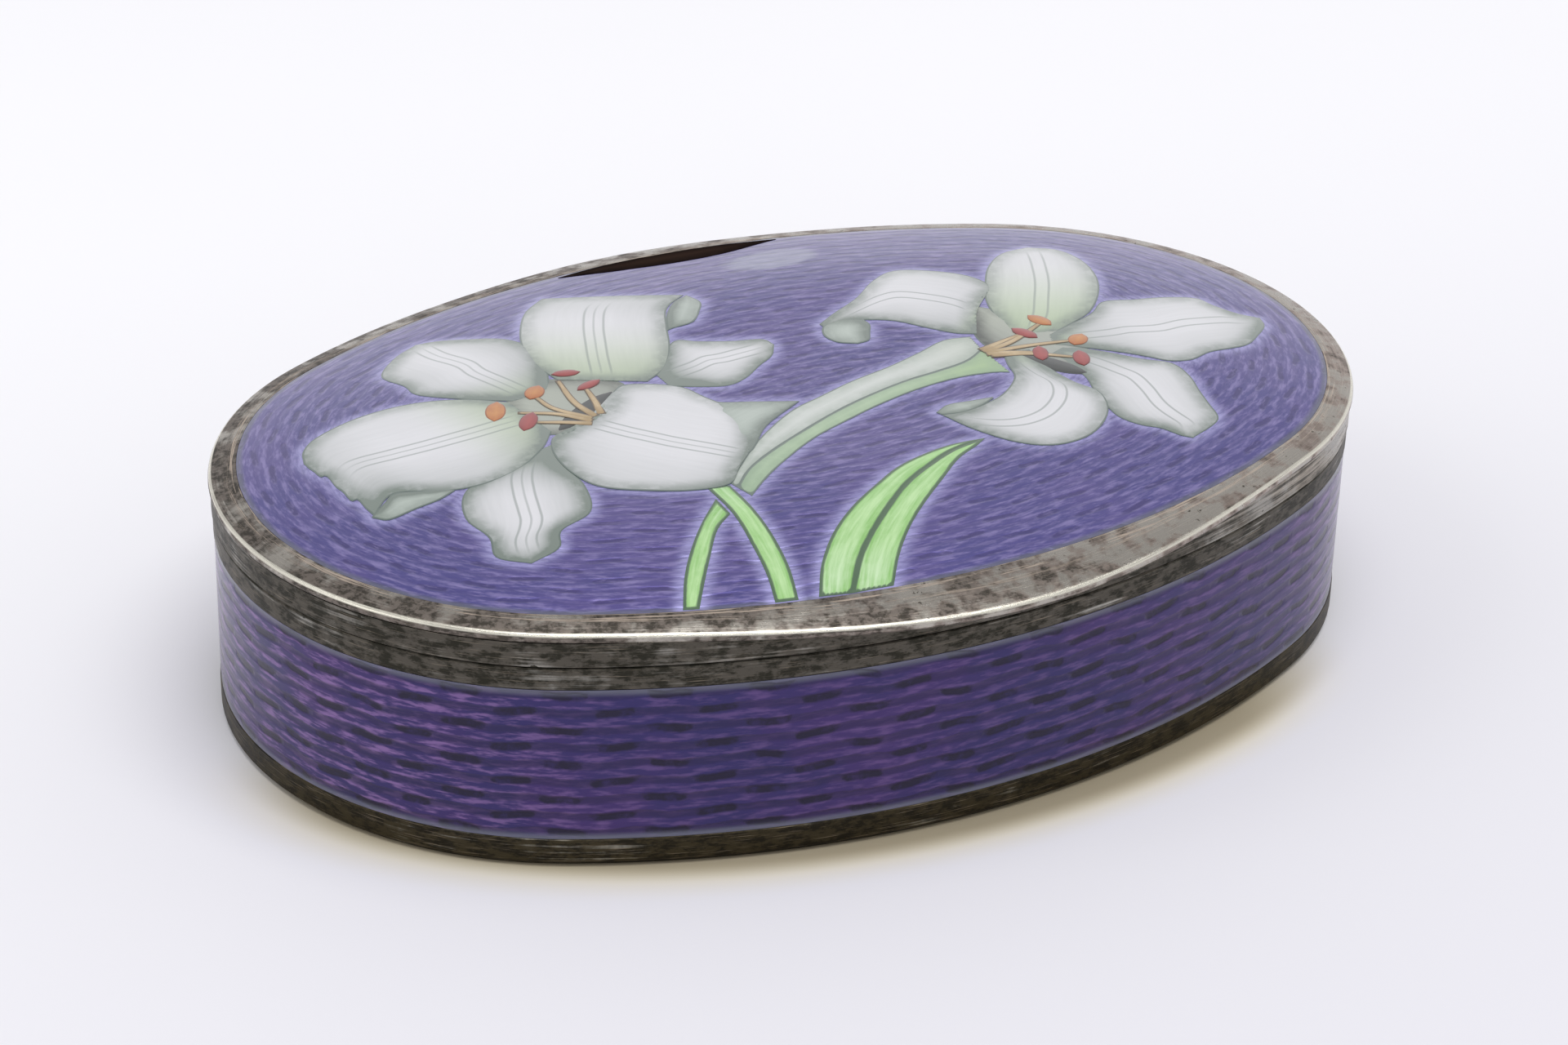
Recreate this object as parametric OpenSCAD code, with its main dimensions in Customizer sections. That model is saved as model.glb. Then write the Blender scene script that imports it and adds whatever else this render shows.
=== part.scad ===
// Oval pill box: an enamelled band and a domed enamelled lid in silver mounts,
// with a gilt interior and a five-knuckle hinge.
// +X is the long axis, -Y the front with the thumb lip, +Z up, and the base rests on z = 0.

/* [Outline] */
// Half the length of the lid's outline
half_length = 25; // [22:0.5:30]
// Half the width of the lid's outline
half_width = 17; // [15.5:0.25:18]
// Radius of the two end arcs of the outline
end_radius = 14.5; // [12.5:0.25:15]

/* [Body] */
// Height of the seam between the body and the lid
seam_height = 8.8; // [7.5:0.1:11]
// Height of the silver rim round the base
base_rim_height = 1.25; // [0.9:0.05:2]
// Height of the silver rim under the seam
upper_rim_height = 0.95; // [0.7:0.05:1.5]
// Thickness of the base plate
base_thickness = 0.5; // [0.4:0.05:0.8]
// Thickness of the enamel on the body and on the lid
enamel_thickness = 0.35; // [0.25:0.05:0.4]
// Height of the gilt bezel above the seam
bezel_rise = 0.65; // [0.5:0.05:0.65]

/* [Lid] */
// Height of the lid's wall, from the seam up to its rim
lid_wall_height = 1.1; // [1:0.05:1.2]
// Width of the sloping silver rim round the lid's enamel
rim_width = 1.15; // [1:0.05:1.5]
// Slope of the rim, in degrees
rim_slope = 14.6; // [8:0.2:18]
// Width over which the lid curves in from its rim to its flat middle
dome_width = 9; // [6:0.5:9]
// Thickness of the engine-turned plaque under the enamel
plaque_thickness = 0.3; // [0.2:0.05:0.35]
// Thickness of the gilt lining inside the lid
lining_thickness = 0.2; // [0.1:0.05:0.2]

/* [Thumb lip] */
// Half the length of the lip along the front
lip_half_length = 16.5; // [8:0.5:17]
// How far the lip stands out from the outline
lip_reach = 1.05; // [0.6:0.05:2.4]

/* [Hinge] */
// Overall length of the five knuckles
hinge_length = 12; // [8:0.5:14]
// Outer radius of the knuckles
knuckle_radius = 0.8; // [0.7:0.02:0.82]
// Radius of the hinge pin
pin_radius = 0.35; // [0.25:0.05:0.4]
// How far the pin's axis lies behind the outline
axis_setback = 0.3; // [0.2:0.05:0.5]
// How far the rim bulges out over the hinge
hinge_cover = 0.45; // [0:0.05:0.6]

/* [Hidden] */
$fn = 128;

silver = [0.62, 0.58, 0.53];
dark_silver = [0.36, 0.34, 0.31];
gilt = [0.85, 0.68, 0.32];
violet = [0.30, 0.22, 0.52];

// Four-arc oval: two end arcs and two side arcs that meet at a common tangent.
end_x = half_length - end_radius;
width_step = half_width - end_radius;
side_y = (end_x * end_x - width_step * width_step) / (2 * width_step);
side_radius = half_width + side_y;
end_angle = atan2(side_y, end_x);

// Depths inwards from the outline.
body_inset = 0.15;
rim_inset = 0.12;
band_outer = body_inset + enamel_thickness;
band_inner = band_outer + 0.4;
bezel_inner = band_inner + 0.3;
wall_outer = 0.08;
wall_inner = 0.7;
ledge_inner = rim_width + 0.35;
chamfer = 0.1;

// Heights.
seam_gap = 0.05;
upper_rim_bottom = seam_height - upper_rim_height;
bezel_top = seam_height + bezel_rise;
wall_bottom = seam_height + seam_gap;
wall_top = seam_height + lid_wall_height;
edge_radius = 0.2;
edge_top = wall_top + 2 * edge_radius;
dome_edge = edge_top + rim_width * tan(rim_slope);
dome_radius = dome_width / sin(rim_slope);
dome_top = dome_edge + dome_radius * (1 - cos(rim_slope));
layers = enamel_thickness + plaque_thickness;
plaque_seat = dome_edge - layers / cos(rim_slope) - 0.005;
ledge_bottom = wall_top - 0.2;
flat_depth = rim_width + dome_width;
flat_overlap = 1.5;

// Hinge.
axis_y = half_width + axis_setback;
axis_z = seam_height + 0.12;
knuckles = 5;
pitch = hinge_length / knuckles;
knuckle_gap = 0.06;
swing_radius = knuckle_radius + 0.07;
running_gap = 0.03;
plug_radius = pin_radius + 0.1;
plug_length = 0.4;
tiny = 0.01;

// Catch.
catch_radius = 0.1;
catch_half_angle = 2;
catch_height = seam_height + 0.35;

// Half-width of the outline at x, and how far a smooth bump stands out from it there.
function edge_y(x) = sqrt(side_radius * side_radius - x * x) - side_y;
function bump(x, half, reach) = reach * (1 + cos(180 * x / half)) / 2;

// Sweeps a profile round the oval: x is the distance outside the outline, y the height.
// Each arc is a full ring cut by a wedge, whose sides pass through the arcs' two centres.
module sweep_end() {
    intersection() {
        translate([end_x, 0, 0]) rotate_extrude() translate([end_radius, 0]) children();
        linear_extrude(2 * dome_top)
            polygon([[end_x, 0], [3 * end_x, 2 * side_y], [3 * end_x, -2 * side_y]]);
    }
}

module sweep_side() {
    intersection() {
        translate([0, -side_y, 0]) rotate_extrude() translate([side_radius, 0]) children();
        linear_extrude(2 * dome_top)
            polygon([[0, -side_y], [3 * end_x, 2 * side_y], [-3 * end_x, 2 * side_y]]);
    }
}

module sweep_oval() {
    sweep_end() children();
    mirror([1, 0, 0]) sweep_end() children();
    sweep_side() children();
    mirror([0, 1, 0]) sweep_side() children();
}

// A band between two depths and two heights, with its outer corners taken off.
module band_profile(outer, inner, bottom, top, low_cut = 0, high_cut = 0) {
    polygon([[-inner, bottom], [-outer - low_cut, bottom], [-outer, bottom + low_cut],
        [-outer, top - high_cut], [-outer - high_cut, top], [-inner, top]]);
}

module oval_ring(outer, inner, bottom, top, low_cut = 0, high_cut = 0) {
    sweep_oval() band_profile(outer, inner, bottom, top, low_cut, high_cut);
}

// A few points along the oval at a depth inside the outline, for a hidden overlap.
function arc(x, y, r, from, to) =
    [for (i = [0 : 3]) let (turn = from + (to - from) * i / 4) [x + r * cos(turn), y + r * sin(turn)]];
function oval_points(depth) = concat(
    arc(end_x, 0, end_radius - depth, -end_angle, end_angle),
    arc(0, -side_y, side_radius - depth, end_angle, 180 - end_angle),
    arc(-end_x, 0, end_radius - depth, 180 - end_angle, 180 + end_angle),
    arc(0, side_y, side_radius - depth, 180 + end_angle, 360 - end_angle));

// The oval at a depth inside the outline.
module oval_2d(depth) {
    for (side = [-1, 1]) translate([side * end_x, 0]) circle(end_radius - depth);
    tangent_x = end_x + (end_radius - depth) * cos(end_angle);
    intersection() {
        translate([0, -side_y]) circle(side_radius - depth);
        translate([0, side_y]) circle(side_radius - depth);
        square([2 * tangent_x, 3 * half_width], center = true);
    }
}

// One layer of the dome, between two distances below the lid's outer surface.
module dome_layer(edge_depth, upper, lower) {
    sweep_oval() union() {
        intersection() {
            translate([-flat_depth, dome_top - dome_radius]) difference() {
                circle(dome_radius - upper);
                circle(dome_radius - lower);
            }
            translate([-flat_depth, 0]) square([flat_depth - edge_depth, 2 * dome_top]);
        }
        translate([-flat_depth - flat_overlap, dome_top - lower])
            square([flat_overlap, lower - upper]);
    }
    translate([0, 0, dome_top - lower])
        linear_extrude(lower - upper) polygon(oval_points(flat_depth + flat_overlap / 2));
}

// A bar of the given radius along the hinge axis, from one x to another.
module axis_bar(r, from, to) {
    translate([from, axis_y, axis_z]) rotate([0, 90, 0]) cylinder(r = r, h = to - from);
}

function knuckle_start(i) = -hinge_length / 2 + i * pitch + knuckle_gap / 2;
function knuckle_end(i) = knuckle_start(i) + pitch - knuckle_gap;

// The hinge's seat: tight round a part's own knuckles, open round those of the other part.
module hinge_seat(other_first) {
    axis_bar(knuckle_radius, -hinge_length / 2 - knuckle_gap, hinge_length / 2 + knuckle_gap);
    for (i = [other_first : 2 : knuckles - 1])
        axis_bar(swing_radius, knuckle_start(i) - knuckle_gap, knuckle_end(i) + knuckle_gap);
}

module base_plate() {
    color(gilt) linear_extrude(base_thickness) oval_2d(band_outer);
}

module base_rim() {
    color(dark_silver) oval_ring(rim_inset, band_outer, 0, base_rim_height, 0.25, chamfer / 2);
}

module body_band() {
    color(silver) difference() {
        oval_ring(band_outer, band_inner, base_thickness, seam_height);
        hinge_seat(1);
    }
}

module body_enamel() {
    color(violet) oval_ring(body_inset, band_outer, base_rim_height, upper_rim_bottom);
}

module upper_rim() {
    color(dark_silver) difference() {
        oval_ring(rim_inset, band_outer, upper_rim_bottom, seam_height, chamfer / 2, chamfer / 2);
        hinge_seat(1);
    }
}

module gilt_bezel() {
    color(gilt) oval_ring(band_inner, bezel_inner, base_thickness, bezel_top, 0, chamfer);
}

// A short half-round ridge on the front of the bezel, which the lid's wall snaps over.
module catch_ridge() {
    color(gilt) mirror([0, 1, 0]) translate([0, -side_y, 0])
        rotate([0, 0, 90 - catch_half_angle]) rotate_extrude(angle = 2 * catch_half_angle)
            translate([side_radius - band_inner, catch_height]) intersection() {
                circle(catch_radius);
                translate([0, -catch_radius]) square(2 * catch_radius);
            }
}

module catch_groove() {
    groove_half_angle = catch_half_angle + 0.5;
    mirror([0, 1, 0]) translate([0, -side_y, 0])
        rotate([0, 0, 90 - groove_half_angle]) rotate_extrude(angle = 2 * groove_half_angle)
            translate([side_radius - wall_inner, catch_height]) circle(1.5 * catch_radius);
}

module hinge_box_knuckles() {
    color(dark_silver) difference() {
        for (i = [0 : 2 : knuckles - 1])
            axis_bar(knuckle_radius, knuckle_start(i), knuckle_end(i));
        axis_bar(pin_radius, -hinge_length, hinge_length);
        for (end = [0, 1]) mirror([end, 0, 0])
            axis_bar(plug_radius, hinge_length / 2 - plug_length, hinge_length);
    }
}

module hinge_lid_knuckles() {
    color(dark_silver) difference() {
        for (i = [1 : 2 : knuckles - 1])
            axis_bar(knuckle_radius, knuckle_start(i), knuckle_end(i));
        axis_bar(pin_radius + running_gap, -hinge_length, hinge_length);
    }
}

module hinge_pin() {
    pin_end = hinge_length / 2 - plug_length - tiny;
    color(silver) axis_bar(pin_radius, -pin_end, pin_end);
}

module hinge_plugs() {
    color(silver) for (end = [0, 1]) mirror([end, 0, 0])
        axis_bar(plug_radius, hinge_length / 2 - plug_length, hinge_length / 2 - knuckle_gap / 2);
}

module lid_wall() {
    color(dark_silver) difference() {
        oval_ring(wall_outer, wall_inner, wall_bottom, wall_top, chamfer / 2, 0);
        hinge_seat(0);
        catch_groove();
    }
}

// The rim's section: a rounded edge, a sloping top and a ledge that the plaque sits on.
module rim_profile() {
    polygon(concat(
        [for (turn = [-90 : 15 : 90 - rim_slope])
            [edge_radius * (cos(turn) - 1), wall_top + edge_radius * (1 + sin(turn))]],
        [[-rim_width, dome_edge], [-rim_width, plaque_seat], [-ledge_inner, plaque_seat],
            [-ledge_inner, ledge_bottom], [-wall_inner, ledge_bottom], [-wall_inner, wall_top]]));
}

// A tongue that carries the rim's slope on past the outline, cut to a smooth bump.
module rim_tongue(half, reach, thickness) {
    steps = 24;
    root = 0.8;
    sunk = 0.1;
    fall = tan(rim_slope - 2);
    crest = edge_top + 0.5 * (tan(rim_slope) - fall);
    intersection() {
        sweep_side() polygon([[-root, crest + root * fall],
            [reach + 1, crest - (reach + 1) * fall],
            [reach + 1, crest - (reach + 1) * fall - thickness],
            [-root, wall_top + edge_radius / 2]]);
        linear_extrude(2 * dome_top) polygon(concat(
            [for (i = [0 : steps]) let (x = -half + 2 * half * i / steps)
                [x, edge_y(x) - sunk + bump(x, half, reach + sunk)]],
            [[half, edge_y(half) - root - sunk], [-half, edge_y(half) - root - sunk]]));
    }
}

module lid_rim() {
    color(silver) {
        sweep_oval() rim_profile();
        mirror([0, 1, 0]) rim_tongue(lip_half_length, lip_reach, 0.35);
        rim_tongue(0.8 * hinge_length, hinge_cover, 0.25);
    }
}

module lid_plaque() {
    color(silver) dome_layer(rim_width, enamel_thickness, layers);
}

module lid_enamel() {
    color(violet) dome_layer(rim_width, 0, enamel_thickness);
}

module lid_lining() {
    color(gilt) dome_layer(ledge_inner, layers, layers + lining_thickness);
}

base_plate();
base_rim();
body_band();
body_enamel();
upper_rim();
gilt_bezel();
catch_ridge();
hinge_box_knuckles();
hinge_pin();
hinge_plugs();
lid_wall();
lid_rim();
lid_plaque();
lid_enamel();
lid_lining();
hinge_lid_knuckles();
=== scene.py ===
"""Oval pill box in silver and violet enamel, with lilies painted on its domed lid."""

import logging
import math
from dataclasses import dataclass, field
from enum import Enum
from typing import Callable, Iterable, Sequence

import bmesh
import bpy
from mathutils import Matrix, Vector
from mathutils.kdtree import KDTree


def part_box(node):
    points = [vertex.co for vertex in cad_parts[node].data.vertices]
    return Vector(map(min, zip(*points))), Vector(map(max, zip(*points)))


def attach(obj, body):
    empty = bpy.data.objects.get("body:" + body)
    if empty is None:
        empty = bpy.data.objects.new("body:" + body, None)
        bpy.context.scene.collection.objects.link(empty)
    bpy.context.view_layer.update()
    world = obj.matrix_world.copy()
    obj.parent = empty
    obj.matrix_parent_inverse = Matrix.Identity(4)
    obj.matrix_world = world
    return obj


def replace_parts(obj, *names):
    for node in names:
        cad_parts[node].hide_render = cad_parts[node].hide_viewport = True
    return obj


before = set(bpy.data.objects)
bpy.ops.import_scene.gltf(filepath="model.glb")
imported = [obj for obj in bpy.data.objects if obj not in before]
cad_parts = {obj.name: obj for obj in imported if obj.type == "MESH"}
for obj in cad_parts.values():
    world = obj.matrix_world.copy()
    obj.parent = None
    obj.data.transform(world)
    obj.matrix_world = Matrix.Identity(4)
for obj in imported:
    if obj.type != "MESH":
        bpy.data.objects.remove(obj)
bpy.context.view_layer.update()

MM = 0.001
WELD = 0.001  # Vertices nearer than this, in millimetres, are merged.
LOG = logging.getLogger("pill_box")

Point = tuple[float, float]
Colour = tuple[float, float, float]
Socket = bpy.types.NodeSocket


class Body(Enum):
    """The rigid bodies that the pieces ride on."""

    BOX = "box"
    LID = "lid"


class Slot(Enum):
    """Names of two material slots, which no piece in this script takes."""

    SILVER = "silver"
    ENAMEL = "enamel"


class Pattern(Enum):
    """What a metal's streaks follow."""

    WALL = "object"
    GIRTH = "uv"


def smooth(value: float, low: float, high: float) -> float:
    """Eases from 0 at low to 1 at high.

    Args:
        value: The number to ease.
        low: Where the result starts to rise.
        high: Where the result reaches 1.

    Returns:
        A number from 0 to 1.
    """
    t = min(1.0, max(0.0, (value - low) / (high - low)))
    return t * t * (3.0 - 2.0 * t)


def cad_corner(node: str, corner: int, axis: int) -> float:
    """One coordinate of a CAD node's corner, to the nearest thousandth of a millimetre.

    Args:
        node: The node's name.
        corner: 0 for its lowest corner and 1 for its highest.
        axis: 0 along the box, 1 across it and 2 upwards.

    Returns:
        The coordinate, in millimetres.
    """
    return round(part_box(node)[corner][axis] / MM, 3)


@dataclass(frozen=True)
class Oval:
    """The box's outline: two end arcs and two side arcs that meet smoothly, in millimetres."""

    half_length: float = cad_corner("lid_rim", 1, 0)
    half_width: float = 17.0
    end_radius: float = 14.5

    @property
    def end_x(self) -> float:
        """How far each end arc's centre lies from the middle."""
        return self.half_length - self.end_radius

    @property
    def side_y(self) -> float:
        """How far each side arc's centre lies beyond the middle."""
        step = self.half_width - self.end_radius
        return (self.end_x**2 - step**2) / (2 * step)

    @property
    def side_radius(self) -> float:
        """Radius of the side arcs."""
        return self.half_width + self.side_y

    @property
    def end_angle(self) -> float:
        """Half the angle of an end arc, in radians."""
        return math.atan2(self.side_y, self.end_x)

    @property
    def perimeter(self) -> float:
        """Length all round the outline."""
        side = math.pi - 2 * self.end_angle
        return 4 * self.end_angle * self.end_radius + 2 * side * self.side_radius

    def on_end(self, x: float, y: float) -> bool:
        """Whether the nearest point of the outline is on an end arc."""
        return math.atan2(abs(y), abs(x) - self.end_x) < self.end_angle

    def depth(self, x: float, y: float) -> float:
        """Distance inwards from the outline.

        Args:
            x: Place along the box.
            y: Place across the box.

        Returns:
            The distance, negative outside the outline.
        """
        if self.on_end(x, y):
            return self.end_radius - math.hypot(abs(x) - self.end_x, y)
        return self.side_radius - math.hypot(x, abs(y) + self.side_y)

    def station(self, x: float, y: float, back: bool) -> float:
        """Distance round the outline to the point nearest to a place.

        Args:
            x: Place along the box.
            y: Place across the box.
            back: Whether the place belongs to the half towards the hinge.

        Returns:
            The distance from the right end, anticlockwise.
        """
        y = abs(y)
        quarter = self.end_angle * self.end_radius
        if self.on_end(x, y):
            travel = math.atan2(y, abs(x) - self.end_x) * self.end_radius
        else:
            turn = math.atan2(y + self.side_y, abs(x)) - self.end_angle
            travel = quarter + turn * self.side_radius
        half = self.perimeter / 2
        travel = travel if x >= 0 else half - travel
        return travel if back else 2 * half - travel


@dataclass(frozen=True)
class Levels:
    """Heights and depths shared by the pieces, in millimetres.

    The enamel lies below the dome by the clearance and by the paint's room, which grows
    from the rim inwards to the depth paint_from.
    """

    base_rim_top: float = cad_corner("base_rim", 1, 2)
    band_top: float = cad_corner("body_enamel", 1, 2)
    wall_top: float = cad_corner("lid_wall", 1, 2)
    edge_top: float = 10.3
    rim_width: float = 1.15
    rim_slope: float = math.radians(14.6)
    dome_width: float = 9.0
    seat: float = 9.92
    clearance: float = 0.02
    paint_room: float = 0.1
    paint_from: float = 5.0

    @property
    def dome_edge(self) -> float:
        """Height of the enamel where it meets the rim."""
        return self.edge_top + self.rim_width * math.tan(self.rim_slope)

    def dome(self, depth: float) -> float:
        """Height of the lid's outer surface at a depth inside the outline.

        Args:
            depth: Distance inwards from the outline.

        Returns:
            The height above the table.
        """
        radius = self.dome_width / math.sin(self.rim_slope)
        run = min(self.dome_width, max(0.0, self.rim_width + self.dome_width - depth))
        drop = radius - math.sqrt(radius * radius - run * run)
        return self.dome_edge + radius * (1 - math.cos(self.rim_slope)) - drop

    def enamel_top(self, depth: float) -> float:
        """Height of the enamel under the paint, which stays below the dome's own height."""
        room = self.paint_room * smooth(depth, self.rim_width, self.paint_from)
        return self.dome(depth) - self.clearance - room


OVAL = Oval()
LEVELS = Levels()


class Shader:
    """A material under construction, with short ways to add its nodes."""

    def __init__(self, name: str) -> None:
        """Starts a node material with one glossy surface shader."""
        self.material = bpy.data.materials.new(name)
        self.material.use_nodes = True
        self.tree = self.material.node_tree
        self.tree.nodes.clear()
        self.surface = self.tree.nodes.new("ShaderNodeBsdfPrincipled")
        output = self.tree.nodes.new("ShaderNodeOutputMaterial")
        self.tree.links.new(self.surface.outputs[0], output.inputs[0])

    def plug(self, target: Socket, value: Socket | float | Sequence[float]) -> None:
        """Sets a socket to a constant or links it to another socket.

        Args:
            target: The socket to fill.
            value: The number, the colour or the socket that it takes.
        """
        if isinstance(value, bpy.types.NodeSocket):
            self.tree.links.new(value, target)
        elif isinstance(value, (int, float)):
            target.default_value = value
        else:
            wanted = len(target.default_value)
            target.default_value = (*value, 1.0)[:wanted]

    def set(self, **values: Socket | float | Sequence[float]) -> None:
        """Sets the surface shader's sockets, with underscores for spaces in their names."""
        for name, value in values.items():
            self.plug(self.surface.inputs[name.replace("_", " ")], value)

    def uv(self) -> Socket:
        """The piece's own UV map, in millimetres.

        Returns:
            The map's socket.
        """
        node = self.tree.nodes.new("ShaderNodeUVMap")
        node.uv_map = "girth"
        return node.outputs[0]

    def place(self, scale: Sequence[float] = (1000, 1000, 1000)) -> Socket:
        """Object coordinates, scaled along each axis."""
        coordinates = self.tree.nodes.new("ShaderNodeTexCoord")
        return self.scaled(coordinates.outputs["Object"], scale)

    def scaled(self, vector: Socket, scale: Sequence[float]) -> Socket:
        """Scales a vector along each axis.

        Args:
            vector: The vector's socket.
            scale: The three factors.

        Returns:
            The scaled vector's socket.
        """
        node = self.tree.nodes.new("ShaderNodeMapping")
        self.tree.links.new(vector, node.inputs["Vector"])
        node.inputs["Scale"].default_value = scale
        return node.outputs[0]

    def split(self, vector: Socket) -> tuple[Socket, Socket, Socket]:
        """Takes a vector apart.

        Args:
            vector: The vector's socket.

        Returns:
            The sockets of its three parts.
        """
        node = self.tree.nodes.new("ShaderNodeSeparateXYZ")
        self.tree.links.new(vector, node.inputs[0])
        return node.outputs[0], node.outputs[1], node.outputs[2]

    def attribute(self, name: str) -> Socket:
        """A number that the mesh carries at each vertex.

        Args:
            name: The attribute's name.

        Returns:
            The number's socket.
        """
        node = self.tree.nodes.new("ShaderNodeAttribute")
        node.attribute_name = name
        return node.outputs["Fac"]

    def math(self, operation: str, a: Socket | float, b: Socket | float = 0.0) -> Socket:
        """One step of arithmetic.

        Args:
            operation: The Math node's operation.
            a: The first number.
            b: The second number, where the operation takes one.

        Returns:
            The result's socket.
        """
        node = self.tree.nodes.new("ShaderNodeMath")
        node.operation = operation
        self.plug(node.inputs[0], a)
        self.plug(node.inputs[1], b)
        return node.outputs[0]

    def times(self, a: Socket | float, b: Socket | float) -> Socket:
        """The product of two numbers."""
        return self.math("MULTIPLY", a, b)

    def plus(self, a: Socket | float, b: Socket | float) -> Socket:
        """The sum of two numbers."""
        return self.math("ADD", a, b)

    def minus(self, a: Socket | float, b: Socket | float) -> Socket:
        """The first number less the second."""
        return self.math("SUBTRACT", a, b)

    def over(self, a: Socket | float, b: Socket | float) -> Socket:
        """The first number divided by the second."""
        return self.math("DIVIDE", a, b)

    def larger(self, a: Socket | float, b: Socket | float) -> Socket:
        """The larger of two numbers."""
        return self.math("MAXIMUM", a, b)

    def smaller(self, a: Socket | float, b: Socket | float) -> Socket:
        """The smaller of two numbers."""
        return self.math("MINIMUM", a, b)

    def size_of(self, a: Socket | float) -> Socket:
        """A number without its sign."""
        return self.math("ABSOLUTE", a)

    def clamp(self, value: Socket | float, low: float = 0.0, high: float = 1.0) -> Socket:
        """A number kept between two limits."""
        return self.larger(self.smaller(value, high), low)

    def length(self, x: Socket | float, y: Socket | float) -> Socket:
        """The length of a flat vector."""
        return self.math("SQRT", self.plus(self.math("POWER", x, 2.0), self.math("POWER", y, 2.0)))

    def ease(self, value: Socket, low: float, high: float, start: float = 0.0,
             end: float = 1.0) -> Socket:
        """Eases a number from start at low to end at high.

        Args:
            value: The number to ease.
            low: Where the result starts to change.
            high: Where the change ends.
            start: The result at low.
            end: The result at high.

        Returns:
            The result's socket.
        """
        node = self.tree.nodes.new("ShaderNodeMapRange")
        node.interpolation_type = "SMOOTHSTEP"
        for index, number in enumerate((value, low, high, start, end)):
            self.plug(node.inputs[index], number)
        return node.outputs[0]

    def noise(self, vector: Socket, scale: float, detail: float = 4.0,
              rough: float = 0.55) -> Socket:
        """Soft noise, from about 0.3 to 0.7.

        Args:
            vector: Where the noise is read.
            scale: Cycles for each unit of the vector.
            detail: How many finer layers it has.
            rough: How strong the finer layers are.

        Returns:
            The noise's socket.
        """
        node = self.tree.nodes.new("ShaderNodeTexNoise")
        self.tree.links.new(vector, node.inputs["Vector"])
        node.inputs["Scale"].default_value = scale
        node.inputs["Detail"].default_value = detail
        node.inputs["Roughness"].default_value = rough
        return node.outputs[0]

    def mix(self, factor: Socket | float, a: Socket | Colour, b: Socket | Colour) -> Socket:
        """Blends two colours.

        Args:
            factor: 0 for the first colour and 1 for the second.
            a: The first colour.
            b: The second colour.

        Returns:
            The blended colour's socket.
        """
        node = self.tree.nodes.new("ShaderNodeMix")
        node.data_type = "RGBA"
        self.plug(node.inputs["Factor"], factor)
        self.plug(node.inputs[6], a)
        self.plug(node.inputs[7], b)
        return node.outputs[2]

    def bump(self, height: Socket, distance: float, strength: float = 1.0) -> Socket:
        """A bumped normal.

        Args:
            height: The relief, from 0 to 1.
            distance: The relief's depth, in millimetres.
            strength: How much of it shows.

        Returns:
            The normal's socket.
        """
        node = self.tree.nodes.new("ShaderNodeBump")
        node.inputs["Strength"].default_value = strength
        node.inputs["Distance"].default_value = distance * MM
        self.tree.links.new(height, node.inputs["Height"])
        return node.outputs[0]


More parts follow.
